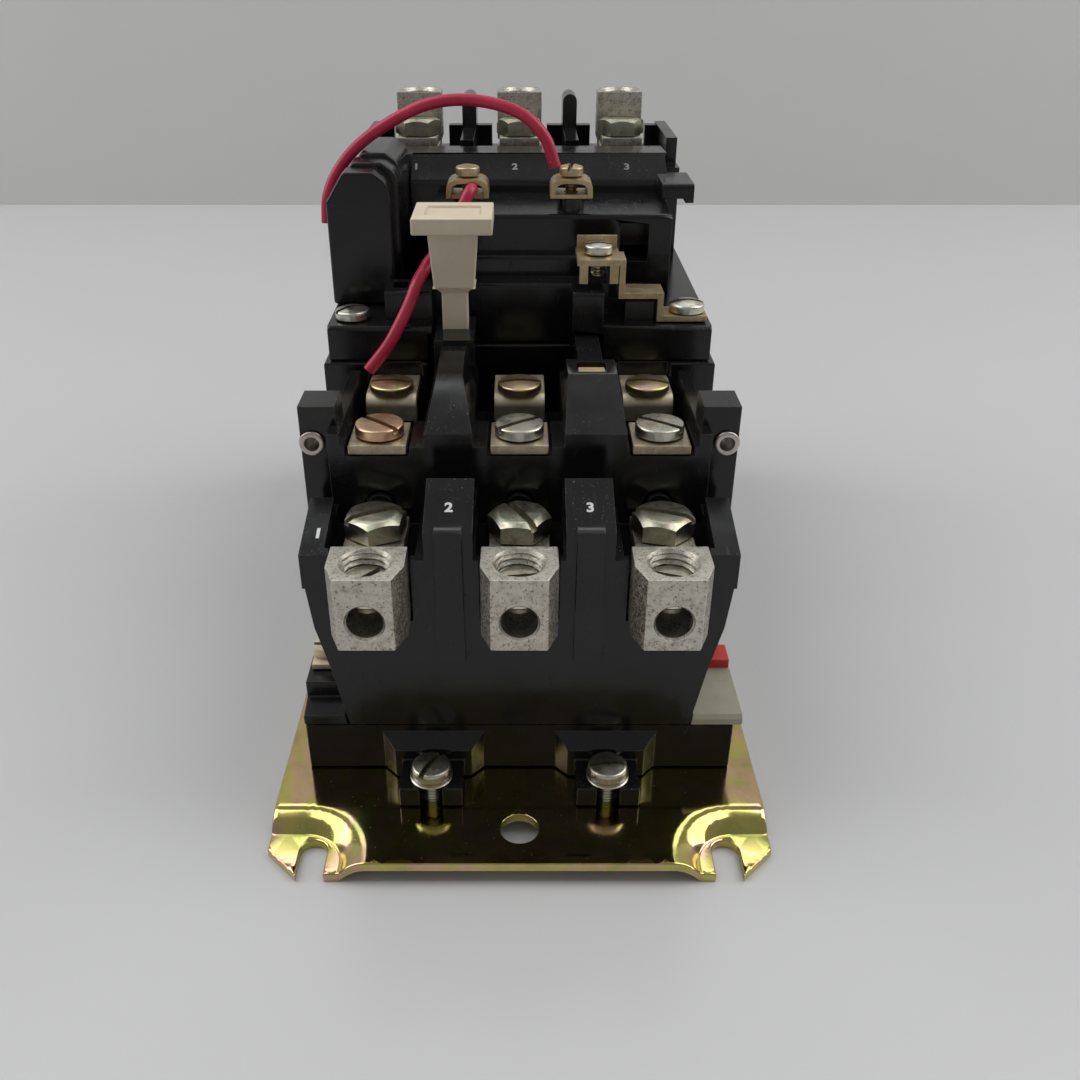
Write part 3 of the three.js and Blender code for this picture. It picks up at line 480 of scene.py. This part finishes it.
def hood_lip(edge):
    """True for the long front edges of the hood's steps, which have a wide radius."""
    a, b = (v.co for v in edge.verts)
    across = abs(a.x - b.x) > 6 and abs(a.y - b.y) + abs(a.z - b.z) < 0.01
    return across and edge.is_convex and -9 < a.y < 48 and 79 < a.z < 111


def boss_lip(edge):
    """True for the front top edges of the bosses behind the relay's fixing screws."""
    return all(v.co.y < -70.8 and 12 < v.co.z < 13 for v in edge.verts)


def dressed(node, width=0.25, segments=2, lips=None):
    """The CAD solid with rounded edges, at the widest radius that leaves it undistorted."""
    limits = extent(from_cad(node))
    best = None
    for share in (1, 0.8, 0.6, 0.4, 0.2):
        bm = from_cad(node)
        if lips:
            soften(bm, lips[1], 4, chosen=lips[0])
        soften(bm, width * share, segments, chosen=lambda e: not on_seam(e))
        bm.normal_update()
        stray = max(abs(a - b) for a, b in zip(extent(bm), limits))
        fault = folded(bm) + (1000 if stray > 0.06 else 0)
        if best is None or fault < best[0]:
            if best:
                best[1].free()
            best = (fault, bm)
        else:
            bm.free()
        if fault < 3:
            break
    return show(node + "_shape", best[1], node)


# ---- Pressed plate ----
STEEL, PAN_RISE, RAMP_RUN = 1.9, 2.8, 5.5
HALF_X, HALF_Y = 50.0, 95.25
FLAT_X, FLAT_Y, FLAT_RADIUS = 35.1, 84.75, 8.0
SLOT_X, SLOT_Y, SLOT_RADIUS = 40.8, 89.25, 2.75
HOLE_Y, HOLE_RADIUS, SCREW_HOLE_RADIUS, HOLE_MARGIN = 85.9, 3.8, 2.4, 5
RIM = 0.25


def plate_top(x, y):
    """Top of the plate: the pan, the four foot flats and the rolled ramps between them."""
    dx, dy = abs(x) - FLAT_X, abs(y) - FLAT_Y
    a, b = dx - FLAT_RADIUS, dy - FLAT_RADIUS
    if a < 0 and b < 0:
        outside = math.hypot(a, b) - FLAT_RADIUS
    else:
        outside = max(-dx if a < 0 else -dy if b < 0 else -1, -dy if a >= 0 else -dx)
    t = min(1.0, max(0.0, outside / RAMP_RUN))
    return STEEL + PAN_RISE * (1 - (1 - t) ** 2.1)


def plate_corner(sx, sy):
    """The plate's outline at one foot: the cut corner, the open slot and where the spacing changes."""
    points = [(HALF_X, 70.0), (HALF_X, 78.5), (HALF_X, 88.8), (SLOT_X + SLOT_RADIUS, HALF_Y)]
    for i in range(25):
        turn = -math.pi * i / 24
        points.append((SLOT_X + SLOT_RADIUS * math.cos(turn), SLOT_Y + SLOT_RADIUS * math.sin(turn)))
    points += [(SLOT_X - SLOT_RADIUS, HALF_Y), (29.0, HALF_Y), (20.0, HALF_Y)]
    points = [(sx * x, sy * y) for x, y in points]
    return points if sx * sy > 0 else points[::-1]


def densified(loop):
    """The closed loop with extra points, close together where the plate is formed."""
    made = []
    for (x0, y0), (x1, y1) in zip(loop, loop[1:] + loop[:1]):
        near = max(abs(x0), abs(x1)) > 28 and min(abs(y0), abs(y1)) > 78
        steps = max(1, round(math.hypot(x1 - x0, y1 - y0) / (0.45 if near else 8)))
        made += [(x0 + (x1 - x0) * i / steps, y0 + (y1 - y0) * i / steps) for i in range(steps)]
    return made


def inset(loop, amount):
    """The counter-clockwise loop moved towards its left by an amount."""
    made = []
    for i, (x, y) in enumerate(loop):
        before, after = Vector(loop[i - 1]), Vector(loop[(i + 1) % len(loop)])
        here = Vector((x, y))
        into, out = (here - before).normalized(), (after - here).normalized()
        sides = [Vector((-d.y, d.x)) for d in (into, out)]
        middle = (sides[0] + sides[1]).normalized()
        made.append(tuple(here + middle * (amount / max(0.3, middle.dot(sides[0])))))
    return made


def circle(x, y, radius, count):
    """A clockwise loop, so that inset() moves it outwards."""
    turns = (2 * math.pi * i / count for i in range(count))
    return [(x + radius * math.cos(t), y - radius * math.sin(t)) for t in turns]


def within(x, y, loop):
    """True if the point lies inside the closed loop."""
    inside = False
    for (x0, y0), (x1, y1) in zip(loop, loop[1:] + loop[:1]):
        if (y0 > y) != (y1 > y) and x < x0 + (x1 - x0) * (y - y0) / (y1 - y0):
            inside = not inside
    return inside


def forming_points():
    """Points inside the plate: rows that follow the ramps of the feet, and a coarse grid between them."""
    cx, cy = FLAT_X + FLAT_RADIUS, FLAT_Y + FLAT_RADIUS
    quarter = [math.pi / 2 * i / 24 for i in range(25)]
    foot = []
    for distance in (-0.35, 0, 0.2, 0.45, 0.8, 1.2, 1.7, 2.3, 3.0, 3.8, 4.7, 5.5, 6.2):
        radius = FLAT_RADIUS + distance
        foot += [(cx + 0.6 * i, cy - radius) for i in range(1, 13)]
        foot += [(cx - radius * math.sin(t), cy - radius * math.cos(t)) for t in quarter]
        foot += [(cx - radius, cy + 0.6 * i) for i in range(1, 5)]
    made = [(sx * x, sy * y) for sx in (-1, 1) for sy in (-1, 1) for x, y in foot]
    made += [(x, y) for x in range(-45, 46, 9) for y in range(-75, 76, 10)]
    return made + [(x, s * y) for x in range(-24, 25, 8) for y in (80, 92) for s in (-1, 1)]


def pressed_plate():
    """The plate from a triangulated outline: a top and a bottom face with rounded rims."""
    corners = [plate_corner(sx, sy) for sx, sy in ((1, 1), (-1, 1), (-1, -1), (1, -1))]
    outline = densified([p for corner in corners for p in corner])
    screw_x, screw_y = BASE_SCREW[:2]
    round_holes = [(0, s * HOLE_Y, HOLE_RADIUS, 48) for s in (-1, 1)]
    round_holes += [(s * screw_x, screw_y, SCREW_HOLE_RADIUS, 32) for s in (-1, 1)]
    holes = [circle(*hole) for hole in round_holes]
    points, links, rims = [], [], []
    for loop in [outline] + holes:
        for ring, drop in ((loop, RIM), (inset(loop, RIM), 0.0)):
            start = len(points)
            points += [(x, y, drop) for x, y in ring]
            links += [(start + i, start + (i + 1) % len(ring)) for i in range(len(ring))]
            if drop:
                rims.append([start + i for i in range(len(ring))])
    inner = inset(outline, RIM + 0.25)
    for x, y in forming_points():
        clear = all(math.hypot(x - hole[0], y - hole[1]) > HOLE_MARGIN for hole in round_holes)
        if clear and within(x, y, inner):
            points.append((x, y, 0.0))
    flat = [Vector((x, y)) for x, y, drop in points]
    verts, _, faces, source = delaunay_2d_cdt(flat, links, [], 0, 0.0001)[:4]
    drop_of = [max((points[i][2] for i in ids), default=0.0) for ids in source]
    kept = []
    for face in faces:
        x = sum(verts[i][0] for i in face) / len(face)
        y = sum(verts[i][1] for i in face) / len(face)
        if within(x, y, outline) and not any(within(x, y, hole) for hole in holes):
            kept.append(face)
    bm = bmesh.new()
    above, below = [], []
    for (x, y), drop in zip(verts, drop_of):
        z = plate_top(x, y)
        above.append(bm.verts.new((x, y, z - drop)))
        below.append(bm.verts.new((x, y, z - STEEL + 0.4 * drop)))
    for face in kept:
        bm.faces.new([above[i] for i in face])
        bm.faces.new([below[i] for i in reversed(face)])
    new_of = {old: new for new, ids in enumerate(source) for old in ids}
    for rim in rims:
        ring = [new_of[i] for i in rim]
        for i, j in zip(ring, ring[1:] + ring[:1]):
            bm.faces.new((above[i], above[j], below[j], below[i]))
    loose = [v for v in bm.verts if not v.link_faces]
    bmesh.ops.delete(bm, geom=loose, context="VERTS")
    return bm


show("plate_shape", pressed_plate(), "mounting_plate", smooth=50)


# ---- Screws and bolts ----
def slot_tool(angle, floor, width, length=20):
    """Space of a screwdriver slot, turned about Z by an angle in degrees."""
    tool = block(-length / 2, length / 2, -width / 2, width / 2, floor, floor + 6)
    tool.transform(Matrix.Rotation(math.radians(angle), 4, "Z"))
    return tool


def threaded(radius, bottom, top, pitch=0.75, depth=0.24):
    """Half profile of a threaded shank from its tip to the head."""
    profile = [(0, bottom), (radius - depth, bottom)]
    z = bottom + 0.2
    while z + pitch < top:
        profile += [(radius - depth, z), (radius, z + 0.45 * pitch), (radius, z + 0.6 * pitch)]
        z += pitch
    return profile + [(radius - depth, top)]


def screw(diameter, height, angle, slot=(1.2, 1.15), crown=0.3, edge=0.45, shank=(2.0, 3), washer=0):
    """A slotted round-head screw that stands on z = 0."""
    r = diameter / 2
    profile = threaded(shank[0], -shank[1], 0) + [(r - 0.15, 0), (r, 0.15)]
    for i in range(6):
        t = math.pi / 2 * i / 5
        profile.append((r - edge + edge * math.cos(t), height - crown - edge + edge * math.sin(t)))
    for i in range(1, 7):
        k = 1 - i / 6
        profile.append(((r - edge) * k, height - crown * k * k))
    bm = carve(lathe(profile), slot_tool(angle, height - slot[1], slot[0]))
    if washer:
        rim = r + washer
        disc = lathe([(0, -0.05), (r + 0.35, -0.05), (rim, 0.15), (rim, 0.55), (r + 0.3, 0.7), (0, 0.7)])
        bm = carve(bm, disc, "UNION")
    return bm


def placed(bm, x, y, z):
    bm.transform(Matrix.Translation((x, y, z)))
    return bm


def hex_bolt(angle, turn, across=11.1, height=4.3):
    """A slotted hexagon head, its corners turned off by a cone, on a plain shank."""
    corner = across / 2 / math.cos(math.pi / 6)
    corners = [math.radians(turn + 60 * i) for i in range(6)]
    outline = [(corner * math.cos(t), corner * math.sin(t)) for t in corners]
    rim = across / 2 * 0.87
    slope = math.tan(math.radians(29))
    turned = [(0, -1), (corner + 0.3, -1), (corner + 0.3, height - (corner + 0.3 - rim) * slope - 0.12)]
    turned += [(rim + 0.12, height - 0.14), (rim - 0.25, height)] + [
        (rim * k, height + 0.12 * (1 - k)) for k in (0.8, 0.5, 0.25)] + [(0, height + 0.12)]
    head = carve(prism(outline, 0, height + 1), lathe(turned, segments=96), "INTERSECT")
    head = carve(head, slot_tool(angle, height - 1.5, 1.45))
    shank = lathe([(0, -2.5), (2.3, -2.5), (2.5, -2.2), (2.5, 0.4), (0, 0.4)], segments=40)
    return carve(head, shank, "UNION")


BOLT_SLOTS = (26, -62, -20)
BOLT_TURNS = (23, -5, 45)
CLAMP_SLOTS = (48, 8, -20)
FRONT_SLOTS = (-42, 35, -35)
REAR_SLOTS = (-4, 3, -8)
LINE_SLOTS = (12, 2, -8)

for i, pole in enumerate(POLES):
    n = i + 1
    bolt = hex_bolt(BOLT_SLOTS[i], BOLT_TURNS[i])
    show(f"lug_bolt_{n}", placed(bolt, pole, *LUG_BOLT), f"lug_bolt_t{n}", BOLT_STEEL)
    bolt = hex_bolt(LINE_SLOTS[i], 0)
    show(f"line_bolt_{n}", placed(bolt, pole, *LINE_BOLT), f"line_bolt_l{n}", BOLT_STEEL)
    front = screw(10, 2.3, FRONT_SLOTS[i], (1.25, 1.2), 0.12, 0.4, (2.2, 2))
    show(f"heater_screw_{n}", placed(front, pole, *FRONT_SCREW), f"heater_screw_front_t{n}")
    rear = screw(9.8, 2.2, REAR_SLOTS[i], (1.15, 1.1), 0.45, 0.5, (2.2, 3))
    show(f"strap_screw_{n}", placed(rear, pole, *REAR_SCREW), f"heater_screw_rear_t{n}")
    grub = lathe([(0, -2), (2.2, -2), (2.9, -1.5), (3.1, -0.6), (4.05, 0.3), (4.05, 4.7), (3.8, 5), (0, 5)])
    grub = carve(grub, slot_tool(CLAMP_SLOTS[i], 3.5, 1.3))
    show(f"grub_screw_{n}", placed(grub, pole, *CLAMP_SCREW), f"clamp_screw_t{n}")

# How far the slots of the base, hood and coil screws are turned on each side, in degrees
SIDE_SLOTS = {"left": (62, 30, 95), "right": (4, 2, 80)}
for name, side in SIDES:
    base_slot, hood_slot, coil_slot = SIDE_SLOTS[name]
    x, y, z = BASE_SCREW
    base_screw = screw(8, 3.4, base_slot, (1.2, 1.4), 0.5, 0.7, (2.0, 6.4), 0.1)
    show(f"base_screw_{name}", placed(base_screw, side * x, y, z), f"overload_screw_{name}")
    x, y = HOOD_SCREW
    lid = screw(8, 2.6, hood_slot, (1.2, 1.3), 0.6, 0.7, (1.7, 4))
    show(f"hood_screw_{name}", placed(lid, side * x, y, HOOD_SCREW_SEATS[name]), f"cover_screw_{name}")
    x, y = COIL_TERMINAL
    coil = screw(5.6, 2.4, coil_slot, (1.1, 1.3), 0.4, 0.5, (1.4, 4.4))
    coil = placed(coil, side * x, y, COIL_SCREW_SEAT)
    show(f"coil_clamp_screw_{name}", coil, f"coil_screw_{name}", FINISH["brass"])
link_screw = screw(6.4, 2.3, 0, (1.0, 1.0), 0.4, 0.5, (1.7, 5))
show("link_screw", placed(link_screw, *JUMPER_SCREW), "jumper_screw")


# ---- Box lugs ----
def tap_tool(radius, bottom, top, pitch=1.3, depth=0.5, flare=0.8):
    """Space of a threaded hole whose mouth is countersunk."""
    bm = bmesh.new()
    segments, step = 64, pitch / 8
    count = int((top + 0.6 - bottom) / step)
    rings = []
    for k in range(count + 1):
        z = bottom + k * step
        ring = []
        for i in range(segments):
            phase = (z / pitch - i / segments) % 1
            ridge = abs(2 * phase - 1)
            t = 2 * math.pi * i / segments
            r = max(radius + depth * ridge - 0.1, radius + flare * (z - (top - 1.0)))
            ring.append(bm.verts.new((r * math.cos(t), r * math.sin(t), z)))
        rings.append(ring)
    for a, b in zip(rings, rings[1:]):
        for i in range(segments):
            j = (i + 1) % segments
            bm.faces.new((a[i], a[j], b[j], b[i]))
    bm.faces.new(rings[0][::-1])
    bm.faces.new(rings[-1])
    return bm


def box_lug(width, depth, height, chamfer, bore_z, tap_y, tongue):
    """A lug with its mouth at y = 0 facing -Y, its foot at z = 0 and its tongue behind it."""
    half = width / 2
    cut_x, cut_y = chamfer
    front = half - cut_x
    outline = [(-half, cut_y), (-front, 0), (front, 0), (half, cut_y), (half, depth), (-half, depth)]
    tongue_half, tongue_end, tongue_heights = tongue
    strip = block(-tongue_half, tongue_half, depth - 1, tongue_end, *tongue_heights)
    bm = soften(carve(prism(outline, 0, height), strip, "UNION"), 0.28)
    end = depth - 2
    bore = lathe([(0, -1), (4.3, -1), (3.9, 0.02), (3.5, 0.45), (3.5, end), (0, end)], (0, 0, bore_z), "Y")
    return carve(carve(bm, bore), placed(tap_tool(4.3, 5.0, height), 0, tap_y, 0))


for i, pole in enumerate(POLES):
    n = i + 1
    load = box_lug(14.7, 12.4, 15.6, (2, 5), 6.2, 6.4, (6, 29.9, (10.1, 12.6)))
    hole = lathe([(0, 5), (2.8, 5), (2.8, 15), (0, 15)], (0, 23, 0), segments=40)
    show(f"load_lug_{n}", placed(carve(load, hole), pole, *LOAD_LUG), f"box_lug_t{n}", smooth=40)
    line = box_lug(12.6, 11.2, 12.7, (1.6, 4), 5.6, 5.9, (5.6, 23.1, (0, 2.3)))
    hole = lathe([(0, -2), (2.8, -2), (2.8, 5), (0, 5)], (0, 17.1, 0), segments=40)
    line = carve(line, hole)
    line.transform(Matrix.Rotation(math.pi, 4, "Z"))
    show(f"line_lug_{n}", placed(line, pole, *LINE_LUG), f"box_lug_l{n}", smooth=40)


# ---- Straps, saddles and eyelets ----
def bent_strip(front, back, top, drop, thick=2.0, radius=2.6):
    """Outline in YZ of a strip that bends down at its front end."""
    points = [(back, top - thick), (back, top)]
    for outer, turns in ((radius, range(0, 13)), (radius - thick, range(12, -1, -1))):
        arc = []
        for i in turns:
            t = math.pi / 2 * i / 12
            arc.append((front + radius - outer * math.sin(t), top - radius + outer * math.cos(t)))
        points += arc if outer == radius else [(front, top - drop), (front + thick, top - drop)] + arc
    return points


for i, pole in enumerate(POLES):
    n = i + 1
    strip = soften(prism(bent_strip(-20.9, -7.5, 70.3, 6), -5.65, 5.65, "YZ"), 0.3, 2, 40)
    hole = lathe([(0, 60), (2.6, 60), (2.6, 80), (0, 80)], (0, REAR_SCREW[0], 0), segments=40)
    show(f"rear_strap_{n}", placed(carve(strip, hole), pole, 0, 0), f"load_strap_t{n}", smooth=40)


def saddle():
    """An arched clamp saddle, open at the front and back, standing on z = 0."""
    def arc(half, rise, direction):
        turns = (math.pi * k / 12 for k in range(13))
        return [(direction * half * math.copysign(abs(math.cos(t)) ** 0.6, math.cos(t)),
                 1.2 + rise * math.sin(t) ** 0.6) for t in turns]
    outline = [(-5, 0)] + arc(5, 3.2, -1) + [(5, 0), (3.7, 0)] + arc(3.7, 2.1, 1) + [(-3.7, 0)]
    arch = soften(prism(outline, -4, 4, "XZ"), 0.18, 2, 50)
    hole = lathe([(0, -1), (1.7, -1), (1.7, 6), (0, 6)], segments=32)
    return carve(carve(arch, block(-3.75, 3.75, -3.7, 3.7, 0, 0.9), "UNION"), hole)


def eyelet(sides=48):
    """A tubular rivet along -Y whose front end is rolled over."""
    half_turn = (math.pi * k / 8 for k in range(9))
    lip = [(2.0 + 0.65 * math.sin(t), 8.9 - 0.45 * math.cos(t)) for t in half_turn]
    bm = bmesh.new()
    rings = []
    for radius, along in [(1.75, 0), (1.75, 8.5), *lip, (1.55, 9.25), (1.4, 8.9), (1.4, 0)]:
        turns = (2 * math.pi * i / sides for i in range(sides))
        rings.append([bm.verts.new((radius * math.cos(t), -along, radius * math.sin(t))) for t in turns])
    for a, b in zip(rings, rings[1:] + rings[:1]):
        for i in range(sides):
            j = (i + 1) % sides
            bm.faces.new((a[i], a[j], b[j], b[i]))
    return bm


for name, side in SIDES:
    x, y = COIL_TERMINAL
    clamp = placed(saddle(), side * x, y, COIL_SADDLE_SEAT)
    show(f"coil_saddle_{name}", clamp, f"coil_terminal_{name}", smooth=40)
    x, y, z = EYELET_PLACE
    show(f"eyelet_{name}", placed(eyelet(), side * x, y, z), f"rivet_{name}", EYELET, smooth=50)


# ---- Coil leads ----
def lead(points, radius=1.4, steps=10, sides=24):
    """A round wire through the points, on a smooth curve."""
    p = [Vector(q) for q in points]
    p = [2 * p[0] - p[1]] + p + [2 * p[-1] - p[-2]]
    path = []
    for a, b, c, d in zip(p, p[1:], p[2:], p[3:]):
        for i in range(steps):
            t = i / steps
            path.append(0.5 * (2 * b + (c - a) * t + (2 * a - 5 * b + 4 * c - d) * t ** 2
                               + (3 * b - a - 3 * c + d) * t ** 3))
    path.append(p[-2])
    for _ in range(14):
        path = [path[0]] + [(a + 2 * b + c) / 4 for a, b, c in zip(path, path[1:], path[2:])] + [path[-1]]
    bm = bmesh.new()
    normal = Vector((0, 1, 0))
    rings = []
    for i, here in enumerate(path):
        along = (path[min(i + 1, len(path) - 1)] - path[max(i - 1, 0)]).normalized()
        normal = (normal - along * normal.dot(along)).normalized()
        side = along.cross(normal)
        turns = (2 * math.pi * k / sides for k in range(sides))
        ring = (here + radius * (normal * math.cos(t) + side * math.sin(t)) for t in turns)
        rings.append([bm.verts.new(point) for point in ring])
    for a, b in zip(rings, rings[1:]):
        for k in range(sides):
            m = (k + 1) % sides
            bm.faces.new((a[k], a[m], b[m], b[k]))
    bm.faces.new(rings[0][::-1])
    bm.faces.new(rings[-1])
    return bm


LOOP = [
    (8.5, 22, 111.1), (7.6, 22, 113.6), (5.9, 22.5, 117.9), (0.1, 25.5, 122.8), (-10.5, 29, 125),
    (-21.3, 30, 124.2), (-30.9, 29, 120.1), (-38.6, 27, 115.2), (-43.6, 25, 109.8), (-46.3, 23, 104.2),
    (-46.8, 22, 98),
]
DOWN = [
    (-11, 14.6, 107.6), (-11.8, 12.4, 107), (-14, 10.3, 102.6), (-17, 7.8, 97), (-20.6, 3.5, 94),
    (-21.9, 1, 92.2), (-23.2, -3.4, 90.7), (-24.6, -6.2, 87.2), (-28.1, -10.1, 80.9),
    (-30.4, -11.4, 77.6), (-34.2, -12.6, 73.2),
]
show("lead_loop", lead(LOOP), "coil_lead_loop", smooth=60)
show("lead_down", lead(DOWN), "coil_lead_down", smooth=60)


# ---- Moulded and other pieces: the CAD solids with rounded edges ----
# For each node the radius, the segments and, for some, edges with a radius of their own
ROUNDING = {
    "overload_housing": (0.4, 3), "contactor_base": (0.5, 3), "nc_contact_block": (0.4, 3),
    "overload_base": (0.35, 3, (boss_lip, 0.8)), "line_housing": (0.4, 3, (hood_lip, 1.1)),
    "reset_plunger": (0.35, 3), "test_button": (0.15, 3),
    "heater_plate_t1": (0.35, 2), "heater_plate_t2": (0.35, 2), "heater_plate_t3": (0.35, 2),
}
OWN_FINISH = {
    "test_button": TEST_PLASTIC, "trip_flag": FLAG,
    "heater_plate_t1": TARNISHED, "heater_plate_t2": TARNISHED, "heater_plate_t3": TARNISHED,
}


def aux_layers():
    """Three stepped layers with rounded edges; the last one runs to the back."""
    made = None
    for k in (0, 1, 2):
        x, top = 1.3 * k, 112.4 + 0.9 * k
        right = min(-29.4 + x, -28.0)
        outline = [(-44.4 + x, 82.1), (right, 82.1), (right, top - 5), (right - 1.2, top - 1.8),
                   (right - 3.6, top), (-40.2 + x, top), (-44.4 + x, top - 6.6)]
        layer = soften(prism(outline, 8 + 7 * k, 45 if k == 2 else 16 + 7 * k, "XZ"), 0.7, 3)
        made = layer if made is None else carve(made, layer, "UNION")
    return made


show("aux_block_shape", aux_layers(), "aux_contact_block")
stood_for = {n for o in bpy.data.objects for n in o.get("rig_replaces", [])}
for name in sorted(set(frame["nodes"]) - stood_for - {"return_spring"}):
    piece = dressed(name, *ROUNDING.get(name, (0.25, 2)))
    if name in OWN_FINISH:
        piece.data.materials[0] = OWN_FINISH[name]
spring = frame["nodes"]["return_spring"]
spring.data.materials.clear()
spring.data.materials.append(FINISH["zinc_steel"])


# ---- Pole numerals ----
def numeral(name, text, size, at, tilt, finish=LABEL):
    """A raised painted numeral on a face that slopes up towards +Y."""
    curve = bpy.data.curves.new(name, "FONT")
    curve.body, curve.size, curve.extrude, curve.offset = text, size, 0.04, 0.035 * size
    curve.align_x = curve.align_y = "CENTER"
    work = bpy.data.objects.new(name, curve)
    bpy.context.scene.collection.objects.link(work)
    mesh = bpy.data.meshes.new_from_object(work.evaluated_get(bpy.context.evaluated_depsgraph_get()))
    bm = bmesh.new()
    bm.from_mesh(mesh)
    bpy.data.objects.remove(work)
    bpy.data.meshes.remove(mesh)
    bm.transform(Matrix.Translation(at) @ Matrix.Rotation(math.radians(tilt), 4, "X"))
    show(name, bm, finish=finish)


numeral("numeral_t1", "1", 3.8, (-38.9, -62.4, 58.93), 13.5)
for text, x in (("2", -13.5), ("3", 13.5)):
    numeral(f"numeral_t{text}", text, 3.2, (x, -62.2, 64.5), 20.7)
for i, x in enumerate((-26.4, -1.2, 27.4)):
    numeral(f"numeral_l{i + 1}", str(i + 1), 3.0, (x, 42, 107.33), 31, FADED)


# ---- Stage, light and camera ----
def stage_material(name, colour, rough):
    def build(tree):
        tone = ramp(tree, noise(tree, 9, 3), (0.3, rgb(*(0.985 * c for c in colour))), (0.7, rgb(*colour)))
        return {"Base Color": tone, "Roughness": rough}
    return surface(name, build)


def slab(name, corners, material):
    """One flat face of the stage, in metres."""
    bm = bmesh.new()
    bm.faces.new([bm.verts.new(c) for c in corners])
    mesh = bpy.data.meshes.new(name)
    bm.to_mesh(mesh)
    bm.free()
    made = bpy.data.objects.new(name, mesh)
    bpy.context.scene.collection.objects.link(made)
    mesh.materials.append(material)


def area(name, place_at, target, size, power, colour=(1, 1, 1)):
    """A rectangular lamp, in metres, turned towards a target."""
    data = bpy.data.lights.new(name, "AREA")
    data.shape = "RECTANGLE"
    data.size, data.size_y = size
    data.energy = power
    data.color = colour
    lamp = bpy.data.objects.new(name, data)
    lamp.location = place_at
    lamp.rotation_euler = (Vector(target) - Vector(place_at)).to_track_quat("-Z", "Y").to_euler()
    bpy.context.scene.collection.objects.link(lamp)


REACH, WALL_Y, WALL_TOP = 3, 0.485, 0.6
slab("floor",
     [(-REACH, -REACH, 0), (REACH, -REACH, 0), (REACH, WALL_Y, 0), (-REACH, WALL_Y, 0)],
     stage_material("floor", (0.62, 0.62, 0.625), 0.28))
slab("backdrop",
     [(-REACH, WALL_Y, 0), (REACH, WALL_Y, 0), (REACH, WALL_Y, WALL_TOP), (-REACH, WALL_Y, WALL_TOP)],
     stage_material("backdrop", (0.62, 0.62, 0.61), 0.7))
area("left_box", (-0.75, 0.1, 0.8), (0, 0, 0), (0.6, 1.2), 5.9)
area("right_box", (0.75, 0.1, 0.8), (0, 0, 0), (0.6, 1.2), 5.9)
area("rear_box", (0.0, 1.05, 1.1), (0, 0, 0.05), (1.4, 0.5), 5.0, (0.95, 0.98, 1.0))

world = bpy.data.worlds.new("room")
bpy.context.scene.world = world
world.use_nodes = True
room = world.node_tree
direction = add(room, "ShaderNodeTexCoord").outputs["Generated"]
facing = add(room, "ShaderNodeSeparateXYZ", {0: direction}).outputs["Y"]
share = calc(room, "ADD", calc(room, "MULTIPLY", facing, 0.5), 0.5)
glow = ramp(room, share, (0.25, 0.27), (0.8, 0.32))
room.links.new(glow, room.nodes["Background"].inputs[0])
bpy.context.scene.view_settings.view_transform = "Standard"

CAMERA_PLACE = (0, -0.2402, 0.1602)
TILT_DOWN = math.radians(30)
# The focal length and the shift of the axis as shares of the picture's width
FOCAL_SHARE, SHIFT_SHARE = 0.98148148, 0.01898148
lens = bpy.data.cameras.new("camera")
lens.sensor_width = 36
lens.lens = lens.sensor_width * FOCAL_SHARE
lens.shift_x = SHIFT_SHARE
lens.clip_start = 0.01
camera = bpy.data.objects.new("camera", lens)
camera.location = CAMERA_PLACE
camera.rotation_euler = (math.pi / 2 - TILT_DOWN, 0, 0)
bpy.context.scene.collection.objects.link(camera)
bpy.context.scene.camera = camera
